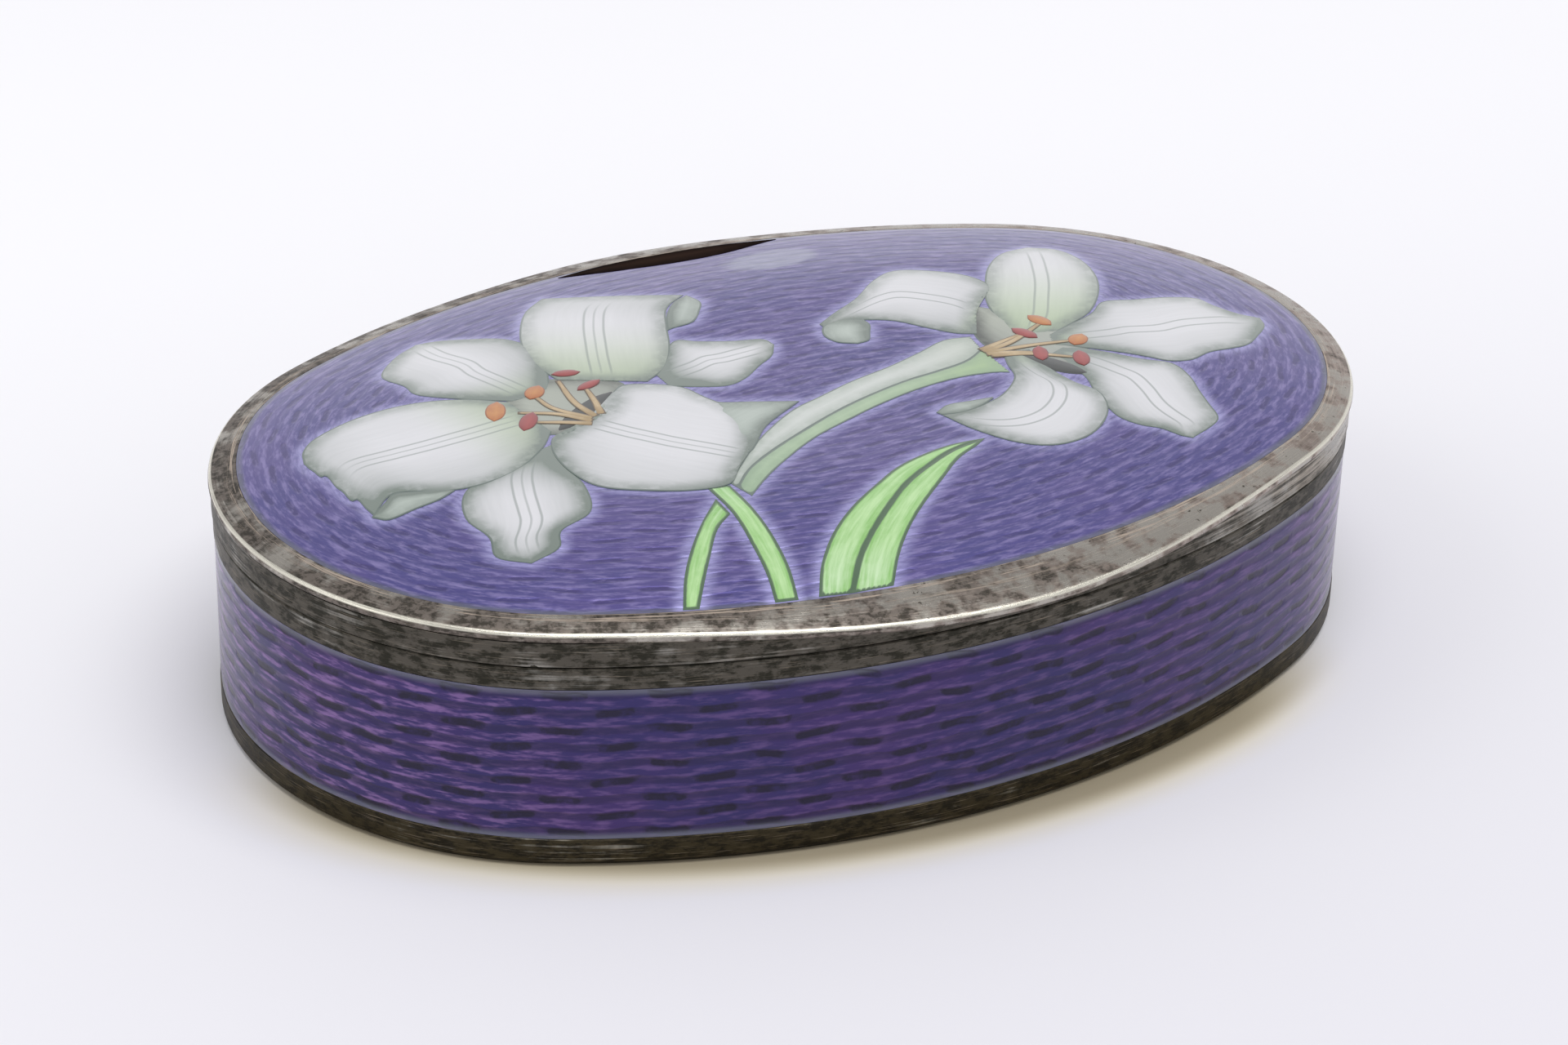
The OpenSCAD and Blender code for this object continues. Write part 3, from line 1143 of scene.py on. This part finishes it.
@dataclass(frozen=True)
class LidMount:
    """The lid's silver mount: the rim, with its thumb lip and hinge cover, and the wall."""

    ledge: float = 1.5
    ledge_bottom: float = 9.7
    wall_inner: float = 0.7
    bead: float = 0.19
    lip_half: float = 16.5
    lip_reach: float = 1.05
    cover_half: float = 9.6
    cover_reach: float = 0.45
    # Painted highlights: the rim and the wall lose tarnish towards the right end, and the rim's
    # outer edge gets a bright line.
    rim: TarnishedSilver = TarnishedSilver("tarnished_silver_rim", Pattern.GIRTH, cover=0.72,
                                           bright=(0.46, 0.43, 0.38), warm=(0.40, 0.32, 0.275),
                                           film=(0.22, 0.190, 0.165), dark=(0.075, 0.066, 0.055),
                                           streaky=0.30, grain=1.9, right_sheen=0.16, right_sheen_from=-22.0,
                                           edge=(10.34, 0.07))
    wall: TarnishedSilver = TarnishedSilver("tarnished_silver_wall", Pattern.WALL, cover=0.85,
                                            bright=(0.33, 0.315, 0.28), warm=(0.32, 0.28, 0.225),
                                            film=(0.105, 0.095, 0.078), right_sheen=0.20)

    def reach(self, x: float, y: float) -> float:
        """How far the rim stands out beyond the outline.

        Args:
            x: Place along the box.
            y: Place across the box, which tells the front from the back.

        Returns:
            The distance, in millimetres.
        """
        half, most = self.lip_half, self.lip_reach
        if y > 0:
            half, most = self.cover_half, self.cover_reach
        if abs(x) >= half:
            return 0.0
        return most * 0.5 * (1 + math.cos(math.pi * x / half))

    def stretch(self, place: Vector) -> Vector:
        """Draws the lip and the hinge cover out of the plain rim.

        Args:
            place: A point of the plain rim, in millimetres.

        Returns:
            Where the point goes.
        """
        share = smooth(OVAL.depth(place.x, place.y), 0.6, 0.25)
        out = self.reach(place.x, place.y) * share
        fall = out * math.tan(LEVELS.rim_slope)
        return Vector((place.x, place.y + math.copysign(out, place.y), place.z - fall))

    def build(self) -> bpy.types.Object:
        """Makes the rim and dresses the wall.

        Returns:
            The rim's object.
        """
        inner, wall = -LEVELS.rim_width, -self.wall_inner
        section = ((wall, LEVELS.wall_top), (0.0, LEVELS.wall_top), (0.0, LEVELS.edge_top),
                   (inner, LEVELS.dome_edge), (inner, LEVELS.seat), (-self.ledge, LEVELS.seat),
                   (-self.ledge, self.ledge_bottom), (wall, self.ledge_bottom))
        rounding = ((1, self.bead, 4), (2, self.bead, 4), (3, 0.05, 2))
        bm = Ring(section, rounding).sweep()
        girth_map(bm, lambda place: place.z + max(0.0, OVAL.depth(place.x, place.y)))
        for vert in bm.verts:
            vert.co = self.stretch(vert.co)
        bmesh.ops.recalc_face_normals(bm, faces=bm.faces)
        piece = finish_piece(bm, "lid_rim_with_lip", self.rim.build(), Body.LID, 50.0)
        dress("lid_wall", self.wall.build())
        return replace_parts(piece, "lid_rim")


@dataclass(frozen=True)
class LidEnamel:
    """The domed sheet of enamel, lighter where it meets the painting."""

    across: int = 300
    over: int = 200
    skirt: float = 0.3
    reach: float = 0.75
    fade: float = 1.6
    halvings: int = 26
    finish: TurnedEnamel = TurnedEnamel("violet_enamel_lid", 0.62, OVAL.perimeter / 34, 0.05,
                                        light=(0.110, 0.088, 0.285), deep=(0.044, 0.032, 0.13),
                                        blue=(0.085, 0.076, 0.265), glint_colour=(0.33, 0.28, 0.56),
                                        contrast=0.55, lines=0.2, glint_amount=0.55,
                                        relief=0.35, gloss=0.9, ends=(1.15, 40.0), halo=True)

    def place(self, a: float, b: float) -> Vector:
        """Lays a square grid on the dome.

        Args:
            a: Place on the square along the box, from -1 to 1.
            b: Place on the square across the box, from -1 to 1.

        Returns:
            The place on the dome, in millimetres.
        """
        x = a * math.sqrt(1 - 0.5 * b * b)
        y = b * math.sqrt(1 - 0.5 * a * a)
        share = math.hypot(x, y)
        if share < 1e-9:
            return Vector((0.0, 0.0, LEVELS.enamel_top(OVAL.half_width)))
        way = Vector((x * OVAL.half_length, y * OVAL.half_width, 0.0)).normalized()
        low, high = 0.0, OVAL.half_length
        for _ in range(self.halvings):
            middle = 0.5 * (low + high)
            inside = OVAL.depth(way.x * middle, way.y * middle) > LEVELS.rim_width
            low, high = (middle, high) if inside else (low, middle)
        spot = way * low * min(1.0, share)
        spot.z = LEVELS.enamel_top(OVAL.depth(spot.x, spot.y))
        return spot

    def build(self, painting: "Painting") -> bpy.types.Object:
        """Makes the sheet.

        Args:
            painting: What is painted on it.

        Returns:
            The sheet's object.
        """
        bm = bmesh.new()
        bmesh.ops.create_grid(bm, x_segments=self.across, y_segments=self.over, size=1.0)
        for vert in bm.verts:
            vert.co = self.place(vert.co.x, vert.co.y)
        close_below(bm, self.skirt)
        self.cast(bm, painting)
        girth_map(bm, lambda place: OVAL.depth(place.x, place.y))
        piece = finish_piece(bm, "lid_enamel_dome", self.finish.build(), Body.LID)
        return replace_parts(piece, "lid_enamel")

    def cast(self, bm: bmesh.types.BMesh, painting: "Painting") -> None:
        """Records how near each vertex is to the painting.

        Args:
            bm: The sheet's mesh, in millimetres.
            painting: What is painted on it.
        """
        tree = plan_tree(painting.places)
        halo = bm.verts.layers.float.new("halo")
        for vert in bm.verts:
            apart = tree.find((vert.co.x, vert.co.y, 0.0))[2]
            vert[halo] = smooth(apart, self.reach, 0.0) ** self.fade


class LilyPainting(Painting):
    """Two white lilies on pale stems, with two green stems and a leaf."""

    white = EnamelPaint("petal_white", (0.74, 0.74, 0.765), (0.18, 0.22, 0.19), (0.56, 0.65, 0.46),
                        veins=0.42, midrib=0.45, streaks=0.18)
    white_right = EnamelPaint("petal_white_right", (0.74, 0.74, 0.765), (0.18, 0.22, 0.19),
                              (0.52, 0.64, 0.40), veins=0.30, streaks=0.18)
    turned = EnamelPaint("petal_turned", (0.46, 0.52, 0.47), (0.16, 0.20, 0.17),
                         (0.30, 0.36, 0.30))
    throat = EnamelPaint("throat_shade", (0.36, 0.38, 0.34), (0.06, 0.07, 0.055),
                         (0.40, 0.43, 0.36))
    hollow = EnamelPaint("throat_dark", (0.035, 0.04, 0.035), (0.02, 0.022, 0.02),
                         (0.05, 0.06, 0.05), line=(0.06, 0.07, 0.06), line_width=0.05)
    tube = EnamelPaint("tube_pale", (0.66, 0.69, 0.66), (0.34, 0.40, 0.34), (0.60, 0.64, 0.58))
    tube_side = EnamelPaint("tube_green", (0.44, 0.58, 0.38), (0.26, 0.38, 0.24),
                            (0.38, 0.54, 0.27))
    green = EnamelPaint("leaf_green", (0.52, 0.78, 0.38), (0.26, 0.54, 0.15), (0.60, 0.82, 0.50),
                        line=(0.04, 0.08, 0.05), line_width=0.18, streaks=2.2)
    beige = EnamelPaint("filament_beige", (0.72, 0.56, 0.33), (0.34, 0.22, 0.09),
                        (0.50, 0.38, 0.16), line=(0.09, 0.06, 0.03), line_width=0.07)
    orange = EnamelPaint("anther_orange", (0.64, 0.29, 0.07), (0.42, 0.12, 0.03),
                         (0.72, 0.34, 0.08), line=(0.30, 0.09, 0.03), line_width=0.06)
    red = EnamelPaint("anther_red", (0.45, 0.070, 0.06), (0.24, 0.02, 0.02), (0.56, 0.10, 0.06),
                      line=(0.16, 0.02, 0.02), line_width=0.06)
    # Paint for the dark sliver of painted shade beside the hinge.
    hinge_shade_paint = EnamelPaint("hinge_shade_dark", (0.030, 0.018, 0.014), (0.008, 0.006, 0.006),
                       (0.050, 0.032, 0.026), line=(0.012, 0.008, 0.008), line_width=0.12,
                       gloss=0.0)

    def build(self) -> None:
        """Paints everything, and the dark sliver of painted shade beside the hinge."""
        self.stems()
        self.left_petals()
        self.right_petals()
        self.turned_edges()
        self.throats()
        self.stamens()
        self.hinge_shade()

    def left_petals(self) -> None:
        """Paints the left lily's petals."""
        petals = (
            # Upper left petal.
            Stroke(((-11.4, 3.4), (-13.0, 4.4), (-14.5, 5.8), (-14.6, 7.0), (-14.9, 8.6),
                    (-13.6, 10.2), (-12.2, 11.1)),
                   ((-9.6, 3.6), (-8.8, 5.5), (-8.4, 7.5), (-8.9, 9.2), (-10.3, 10.3),
                    (-11.3, 10.9), (-12.2, 11.1)),
                   layer=1, shades=(0.5, 0.15, 0.35, 0.5), leaf=0.35),
            # Top petal, with a turned edge.
            Stroke(((-8.9, 4.4), (-9.1, 6.4), (-8.6, 8.4), (-7.7, 10.3), (-6.7, 11.8),
                    (-5.4, 12.9)),
                   ((-5.6, 2.6), (-4.3, 3.5), (-3.2, 5.2), (-2.4, 7.0), (-1.5, 8.7), (-0.2, 9.7)),
                   layer=2, shades=(0.3, 0.3, 0.1, 0.15), leaf=0.7),
            # Small petal on the right, under the others.
            Stroke(((-5.0, 3.4), (-3.6, 4.9), (-2.7, 5.6), (-1.9, 5.1), (-0.6, 4.5), (0.6, 4.1),
                    (0.8, 3.4)),
                   ((-5.0, 1.8), (-3.9, 1.2), (-2.8, 0.8), (-1.8, 1.1), (-0.7, 1.9), (0.2, 2.5),
                    (0.8, 3.4)),
                   layer=0, shades=(1.0, 0.2, 0.3, 0.4), leaf=0.2),
            # Near right petal, over the others.
            Stroke(((-10.6, -0.2), (-11.4, -0.3), (-12.0, -1.6), (-12.1, -3.4), (-11.6, -5.0),
                    (-9.9, -6.2), (-8.3, -6.9), (-6.9, -7.0), (-6.0, -6.0), (-5.0, -5.0)),
                   ((-8.4, 0.7), (-7.8, 1.4), (-6.9, 2.7), (-5.6, 2.3), (-4.6, 1.5), (-4.2, 0.3),
                    (-3.7, -1.2), (-3.7, -2.6), (-4.2, -3.8), (-5.0, -5.0)),
                   layer=5, shades=(0.35, 0.6, 0.25, 0.05), leaf=0.2),
            # Lower petal.
            Stroke(((-14.0, -1.5), (-16.4, -2.8), (-17.3, -4.6), (-17.1, -6.3), (-17.4, -7.6),
                    (-16.4, -8.6)),
                   ((-11.6, -0.8), (-12.0, -2.6), (-12.1, -4.6), (-12.8, -6.5), (-14.4, -7.2),
                    (-15.0, -8.2), (-16.4, -8.6)),
                   layer=0, shades=(0.85, 0.45, 0.3, 0.5), leaf=0.2),
            # Long left petal, with a ragged tip.
            Stroke(((-11.6, 3.4), (-13.2, 4.5), (-15.2, 5.2), (-17.4, 5.3), (-19.4, 4.8),
                    (-20.4, 4.0), (-20.8, 3.0)),
                   ((-11.2, 0.2), (-12.2, -1.0), (-13.8, -2.2), (-15.6, -2.7), (-17.2, -2.4),
                    (-18.9, -1.5), (-20.2, -2.5)),
                   layer=3, shades=(0.3, 0.35, 0.1, 0.35), leaf=0.5, ragged=0.22),
        )
        self.layer("lily_petals_left", petals, self.white)

    def right_petals(self) -> None:
        """Paints the right lily's petals."""
        petals = (
            # Curled petal on the left.
            Stroke(((10.6, 3.2), (12.0, 4.3), (11.8, 5.8), (10.6, 7.1), (9.2, 7.8), (7.8, 7.2),
                    (6.2, 5.9), (4.6, 5.0), (3.5, 4.3)),
                   ((9.0, 0.5), (8.2, 1.0), (7.4, 2.0), (6.5, 3.2), (5.2, 3.9), (4.2, 3.9),
                    (3.5, 3.7)),
                   layer=2, shades=(0.25, 0.5, 0.1, 0.35), leaf=0.2),
            # Top petal.
            Stroke(((10.2, -0.4), (10.6, 1.6), (11.1, 3.2), (11.9, 4.6), (13.1, 6.3), (14.6, 7.6),
                    (16.2, 8.0)),
                   ((11.9, -0.9), (13.2, -0.4), (14.6, 0.3), (16.0, 1.8), (17.0, 3.6), (17.5, 5.6),
                    (17.3, 7.2), (16.2, 8.0)),
                   layer=1, shades=(0.3, 0.2, 0.15, 0.2), leaf=0.8),
            # Long right petal.
            Stroke(((11.7, -0.9), (12.9, -0.5), (14.5, 0.1), (15.6, 0.9), (17.0, 0.6), (18.6, 0.4),
                    (19.9, 0.0), (20.2, -0.8), (20.8, -1.8), (21.6, -2.4)),
                   ((11.3, -1.9), (12.4, -2.7), (13.6, -3.8), (14.4, -4.6), (15.0, -5.2),
                    (16.0, -5.4), (17.2, -5.0), (18.4, -4.9), (19.4, -4.7), (20.4, -4.0),
                    (21.3, -3.2), (21.6, -2.4)),
                   layer=2, shades=(0.5, 0.45, 0.15, 0.25), leaf=0.2),
            # Lower right petal.
            Stroke(((10.6, -2.4), (10.8, -3.6), (10.9, -5.0), (10.5, -6.4), (10.3, -7.6),
                    (10.3, -8.6), (10.8, -9.4), (11.5, -9.9), (12.0, -10.6), (12.4, -10.9)),
                   ((11.6, -2.0), (12.8, -3.2), (14.0, -4.6), (15.0, -5.4), (15.1, -6.6),
                    (14.8, -7.8), (14.6, -8.8), (14.4, -9.8), (13.8, -10.3), (12.4, -10.9)),
                   layer=1, shades=(0.7, 0.25, 0.35, 0.2), leaf=0.2),
            # Lower left petal, with a curled tip.
            Stroke(((9.0, -1.6), (8.6, -2.6), (8.2, -3.8), (7.0, -4.9), (5.8, -5.4), (4.6, -5.6),
                    (3.7, -5.5)),
                   ((10.2, -1.8), (10.0, -3.4), (10.2, -5.2), (10.7, -6.6), (10.0, -8.2),
                    (8.4, -9.4), (6.6, -9.6), (5.2, -8.8), (4.2, -7.2), (3.7, -5.5)),
                   layer=3, shades=(0.5, 0.5, 0.2, 0.15), leaf=0.2),
        )
        self.layer("lily_petals_right", petals, self.white_right)

    def turned_edges(self) -> None:
        """Paints the petals' undersides, where their edges turn over."""
        turned = (
            # Left lily's top petal.
            Stroke(((-2.6, 6.6), (-1.9, 8.0), (-1.0, 9.1), (-0.1, 9.6)),
                   ((-2.3, 6.7), (-1.2, 6.9), (-0.4, 7.8), (0.05, 8.6), (-0.1, 9.6)),
                   layer=3, shades=(0.4, 0.1, 0.7, 0.0)),
            # Left lily's near right petal.
            Stroke(((-4.5, 1.0), (-4.0, -0.3), (-2.6, -1.0), (-0.9, -1.8)),
                   ((-6.4, -4.2), (-5.0, -5.0), (-3.2, -3.2), (-0.9, -1.8)),
                   layer=4, shades=(0.6, 0.2, 0.2, 0.5)),
            # Left lily's long petal.
            Stroke(((-20.3, -2.5), (-19.5, -1.9), (-18.9, -1.5), (-18.0, -1.9), (-16.8, -2.5)),
                   ((-20.3, -2.6), (-19.8, -3.1), (-18.6, -3.0), (-17.6, -2.9), (-16.8, -2.6)),
                   layer=4, shades=(0.2, 0.2, 0.9, 0.0)),
            # Right lily's curled petal.
            Stroke(((4.4, 4.4), (3.5, 4.0), (3.1, 3.2), (3.3, 2.4), (4.0, 1.9)),
                   ((5.4, 3.9), (5.4, 3.3), (5.0, 2.6), (4.6, 2.0), (4.0, 1.9)),
                   layer=3, shades=(0.3, 0.1, 0.1, 0.6)),
            # Right lily's lower left petal.
            Stroke(((3.6, -5.2), (4.4, -4.8), (5.4, -4.9), (6.4, -5.0)),
                   ((3.7, -5.5), (4.6, -5.7), (5.6, -5.5), (6.4, -5.1)),
                   layer=4, shades=(0.1, 0.1, 0.1, 0.4)),
        )
        self.layer("lily_petal_undersides", turned, self.turned)

    def throats(self) -> None:
        """Paints the shade in the throats of the two lilies."""
        throats = (
            # Left lily.
            Stroke(((-11.6, 3.6), (-12.0, 2.0), (-11.6, 0.2), (-9.6, -0.7)),
                   ((-11.6, 3.6), (-9.2, 4.6), (-6.6, 3.0), (-7.8, 0.6), (-9.6, -0.7)),
                   layer=-1, shades=(0.0, 0.95, 0.0, 0.3), leaf=1.0),
            # Right lily.
            Stroke(((10.4, 3.0), (8.9, 0.6), (8.8, -1.8), (9.6, -3.6), (11.2, -4.6)),
                   ((10.4, 3.0), (11.2, 2.0), (12.6, 0.0), (12.8, -1.8), (12.2, -3.4),
                    (11.2, -4.6)),
                   layer=-1, shades=(0.0, 0.7, 0.55, 0.0), leaf=1.0),
        )
        self.layer("lily_throats", throats, self.throat)
        depths = (anther((-11.0, 0.1), (-7.2, 2.5), 0.62, 0),
                  anther((9.0, -1.2), (11.3, -5.0), 0.6, 0))
        self.layer("lily_throat_depths", depths, self.hollow)

    def hinge_shade(self) -> None:
        """Paints a dark sliver of painted shade on the enamel beside the hinge."""
        sliver = Stroke(((-3.4, 15.38), (-1.6, 15.72), (0.4, 15.84), (2.6, 15.74), (4.8, 15.46),
                         (7.2, 14.86)),
                        ((-3.4, 15.3), (-2.2, 14.85), (-0.8, 14.42), (1.7, 13.95), (4.2, 13.98),
                         (7.2, 14.78)),
                        layer=0, veined=0.0, swell=0.03)
        self.layer("enamel_hinge_shade", (sliver,), self.hinge_shade_paint, cast=False)

    def stamens(self) -> None:
        """Paints the filaments and the anthers."""
        fans = (
            ((-9.3, 0.3), (-10.3, 1.5), (-11.7, 2.3)), ((-9.2, 0.5), (-10.2, 2.0), (-10.4, 3.3)),
            ((-9.0, 0.6), (-9.2, 2.2), (-8.9, 4.3)), ((-8.7, 0.7), (-8.4, 1.9), (-8.2, 3.1)),
            ((-9.4, 0.1), (-10.4, 0.7), (-11.4, 1.2)), ((8.3, -1.0), (9.4, -0.7), (10.6, -0.4)),
            ((8.3, -1.2), (10.0, -0.8), (12.0, 0.2)), ((8.3, -1.4), (9.3, -1.7), (10.3, -2.2)),
            ((8.4, -1.3), (10.4, -1.5), (12.4, -1.9)), ((8.4, -1.6), (10.0, -2.2), (11.5, -3.3)),
        )
        self.layer("lily_filaments", (ribbon(line, 0.21, 0.12, 7) for line in fans), self.beige)
        orange = (((-12.9, 2.0), (-12.0, 3.6), 0.42), ((-10.7, 3.2), (-9.8, 4.2), 0.40),
                  ((12.1, -2.3), (13.0, -1.5), 0.42), ((11.9, 1.1), (12.3, -0.2), 0.36))
        red = (((-12.2, 0.7), (-11.1, 2.1), 0.36), ((-8.9, 4.9), (-7.7, 4.6), 0.30),
               ((-8.6, 3.1), (-7.3, 3.6), 0.26), ((10.6, 0.3), (11.1, -1.0), 0.34),
               ((10.7, -1.7), (10.1, -3.0), 0.34), ((11.4, -4.2), (12.0, -2.8), 0.36))
        self.layer("anthers_orange", (anther(a, b, w, 8) for a, b, w in orange), self.orange)
        self.layer("anthers_red", (anther(a, b, w, 8) for a, b, w in red), self.red)

    def stems(self) -> None:
        """Paints the pale tube, the two green stems and the leaf."""
        top = ((8.6, 0.4), (7.4, 0.6), (5.8, 0.0), (4.0, -0.6), (2.0, -1.1), (0.0, -1.8),
               (-1.6, -2.4), (-3.4, -3.6), (-4.6, -4.6), (-5.8, -5.8), (-6.9, -6.9))
        fold = ((8.4, -0.9), (7.2, -1.6), (5.6, -1.9), (4.0, -2.1), (2.0, -2.6), (0.0, -3.3),
                (-2.0, -4.2), (-4.0, -5.2), (-5.6, -6.2), (-6.8, -7.4))
        low = ((8.3, -3.3), (7.6, -3.0), (6.0, -2.8), (4.0, -3.0), (2.0, -3.5), (0.0, -4.2),
               (-2.0, -5.0), (-4.0, -6.2), (-5.4, -7.2), (-6.6, -8.2))
        bands = (("lily_tube_top", top, fold, self.tube),
                 ("lily_tube_side", fold, low, self.tube_side))
        for name, upper, lower, paint in bands:
            band = Stroke(upper, lower, layer=1, shades=(0.1, 0.3, 0.15, 0.15), veined=0.0)
            self.layer(name, (band,), paint)
        outer = ((-7.4, -15.0), (-6.4, -13.4), (-5.0, -11.8), (-3.4, -10.5), (-1.8, -9.5),
                 (-0.2, -8.6), (1.4, -8.1), (2.8, -7.9), (4.2, -8.0))
        spine = ((-6.1, -15.3), (-4.8, -13.6), (-3.4, -12.2), (-2.0, -11.0), (-0.6, -9.9),
                 (1.0, -9.0), (2.6, -8.3), (4.2, -8.0))
        inner = ((-4.4, -15.5), (-3.2, -13.9), (-1.8, -12.4), (-0.4, -11.2), (1.0, -10.1),
                 (2.4, -9.0), (3.6, -8.4), (4.2, -8.0))
        stems = (
            # Left stem.
            Stroke(((-8.0, -7.8), (-9.4, -9.2), (-10.6, -10.6), (-11.6, -12.0), (-12.5, -13.6)),
                   ((-8.0, -9.0), (-9.0, -9.8), (-10.2, -11.4), (-11.2, -12.8), (-11.9, -13.8)),
                   layer=0, shades=(0.3, 0.0, 0.15, 0.15), veined=0.0),
            # Right stem, over the left one.
            Stroke(((-7.9, -6.9), (-7.9, -9.0), (-8.2, -11.0), (-8.6, -13.0), (-9.1, -14.65)),
                   ((-7.0, -7.1), (-7.0, -9.0), (-7.2, -11.0), (-7.6, -13.0), (-8.2, -14.85)),
                   layer=1, shades=(0.1, 0.0, 0.15, 0.15), veined=0.0),
            # Leaf, in two halves along its spine.
            Stroke(outer, spine, layer=0, shades=(0.0, 0.1, 0.1, 0.5), veined=0.0),
            Stroke(spine, inner, layer=0, shades=(0.0, 0.1, 0.3, 0.3), veined=0.0),
        )
        self.layer("stems_and_leaf", stems, self.green)


@dataclass(frozen=True)
class Hinge:
    """The five knuckles, their pin and its end plugs."""

    knuckles: TarnishedSilver = TarnishedSilver("tarnished_silver_hinge", Pattern.WALL, cover=0.6)
    pin: TarnishedSilver = TarnishedSilver("pin_silver", Pattern.WALL, cover=0.3,
                                           bright=(0.66, 0.64, 0.60), gloss=0.22)

    def build(self) -> None:
        """Dresses the hinge's pieces."""
        silver, pin = self.knuckles.build(), self.pin.build()
        for node in ("hinge_box_knuckles", "hinge_lid_knuckles"):
            dress(node, silver)
        for node in ("hinge_pin", "hinge_plugs"):
            dress(node, pin)


@dataclass(frozen=True)
class LidInside:
    """The plaque that carries the enamel and the gilt lining below it."""

    plaque: TarnishedSilver = TarnishedSilver("plaque_silver", Pattern.WALL, cover=0.2)
    lining: Gilding = Gilding("silver_gilt_lid")

    def build(self) -> None:
        """Dresses the lid's inner pieces."""
        dress("lid_plaque", self.plaque.build())
        dress("lid_lining", self.lining.build())


@dataclass(frozen=True)
class Table:
    """A plain pale table, with painted shade towards the front, a painted warm pool of light
    where the gilt plate throws light down, and a painted contact shadow at the box's foot.
    """

    size: float = 3.0
    colour: Colour = (0.96, 0.955, 0.98)
    # Painted light and shade: near darkens the front, cast is a warm pool of light and contact a
    # shadow at the foot.
    near: Colour = (0.82, 0.81, 0.86)
    cast: Colour = (0.84, 0.76, 0.56)
    contact_shadow: Colour = (0.44, 0.38, 0.27)
    cast_x: float = 0.8
    cast_size: Point = (25.4, 17.4)

    def build(self) -> None:
        """Makes the table."""
        bm = bmesh.new()
        bmesh.ops.create_grid(bm, x_segments=4, y_segments=4, size=self.size)
        table = add_mesh("table", bm)
        s = Shader("pale_table")
        cloud = s.noise(s.place((8.0, 8.0, 8.0)), 1.0, 3.0)
        grain = s.noise(s.place(), 1.2, 3.0)
        pale = s.mix(s.ease(cloud, 0.3, 0.7), self.colour, tuple(0.97 * c for c in self.colour))
        x, y, _ = s.split(s.place())
        apart = s.length(s.over(s.minus(x, self.cast_x), self.cast_size[0]),
                         s.over(y, self.cast_size[1]))
        # Painted shade: the table darkens towards the front.
        pale = s.mix(s.ease(y, 60.0, -60.0), pale, self.near)
        # Painted warm light from the gilt plate, and a painted contact shadow, at the front of the
        # box.
        front = s.times(s.ease(y, 2.0, -8.0), s.ease(x, 21.0, 12.0))
        pale = s.mix(s.times(s.ease(apart, 1.15, 1.0), front), pale, self.cast)
        pale = s.mix(s.times(s.ease(apart, 1.075, 1.0), front), pale, self.contact_shadow)
        s.set(Base_Color=pale, Roughness=0.75, Normal=s.bump(grain, 0.01, 0.15))
        s.plug(s.surface.inputs["Specular IOR Level"], 0.25)
        table.data.materials.append(s.material)


@dataclass(frozen=True)
class Lamp:
    """A large soft lamp that faces the box."""

    name: str
    azimuth: float
    elevation: float
    distance: float
    size: Point
    power: float
    colour: Colour = (1.0, 1.0, 1.0)

    def build(self) -> None:
        """Makes the lamp."""
        data = bpy.data.lights.new(self.name, "AREA")
        data.shape = "RECTANGLE"
        data.size, data.size_y = self.size
        data.energy = self.power
        data.color = self.colour
        lamp = add_object(self.name, data)
        back = bearing(self.azimuth, self.elevation)
        lamp.matrix_world = (Matrix.Translation(back * self.distance)
                             @ (-back).to_track_quat("-Z", "Y").to_matrix().to_4x4())


@dataclass(frozen=True)
class Camera:
    """The camera, which looks down on the box from its front left."""

    azimuth: float = -29.868
    elevation: float = 29.179
    roll: float = 1.532
    distance: float = 0.178296
    lens: float = 95.87
    shift: Point = (-0.00414, 0.0658)

    def build(self) -> None:
        """Makes the scene's camera."""
        data = bpy.data.cameras.new("camera")
        data.lens = self.lens
        data.sensor_width = 36.0
        data.shift_x, data.shift_y = self.shift
        data.clip_start, data.clip_end = 0.01, 10.0
        camera = add_object("camera", data)
        back = bearing(self.azimuth, self.elevation)
        right = (-back).cross(Vector((0.0, 0.0, 1.0))).normalized()
        turn = Matrix.Rotation(math.radians(self.roll), 3, back)
        right, up = turn @ right, turn @ back.cross(right)
        axes = Matrix((right, up, back)).transposed()
        camera.matrix_world = Matrix.Translation(back * self.distance) @ axes.to_4x4()
        bpy.context.scene.camera = camera


@dataclass(frozen=True)
class Studio:
    """A white room, brighter low at the back, with soft lamps above."""

    low: float = 0.92
    high: float = 0.42
    colour: Colour = (0.97, 0.97, 1.0)
    lamps: tuple[Lamp, ...] = (
        Lamp("lamp_above", 20.0, 78.0, 0.9, (0.7, 0.7), 4.3),
        Lamp("lamp_left", -100.0, 40.0, 0.9, (0.5, 0.5), 0.8),
    )

    def build(self) -> None:
        """Lights the scene and makes its camera and table."""
        bpy.context.scene.view_settings.view_transform = "Standard"
        world = bpy.data.worlds.new("white_room")
        bpy.context.scene.world = world
        world.use_nodes = True
        nodes, links = world.node_tree.nodes, world.node_tree.links
        way = nodes.new("ShaderNodeTexCoord")
        split = nodes.new("ShaderNodeSeparateXYZ")
        links.new(way.outputs["Generated"], split.inputs[0])
        height = nodes.new("ShaderNodeMapRange")
        height.inputs["From Min"].default_value = 0.15
        height.inputs["From Max"].default_value = 0.85
        height.inputs["To Min"].default_value = self.low
        height.inputs["To Max"].default_value = self.high
        links.new(split.outputs[2], height.inputs[0])
        background = nodes["Background"]
        background.inputs[0].default_value = (*self.colour, 1.0)
        links.new(height.outputs[0], background.inputs[1])
        for lamp in self.lamps:
            lamp.build()
        Camera().build()
        Table().build()


def main() -> None:
    """Builds the box, its setting, its lights and the camera."""
    logging.basicConfig(level=logging.INFO, format="%(message)s")
    Studio().build()
    BodyMount().build()
    BodyEnamel().build()
    LidMount().build()
    painting = LilyPainting()
    painting.build()
    LidEnamel().build(painting)
    Hinge().build()
    LidInside().build()


if __name__ == "__main__":
    main()
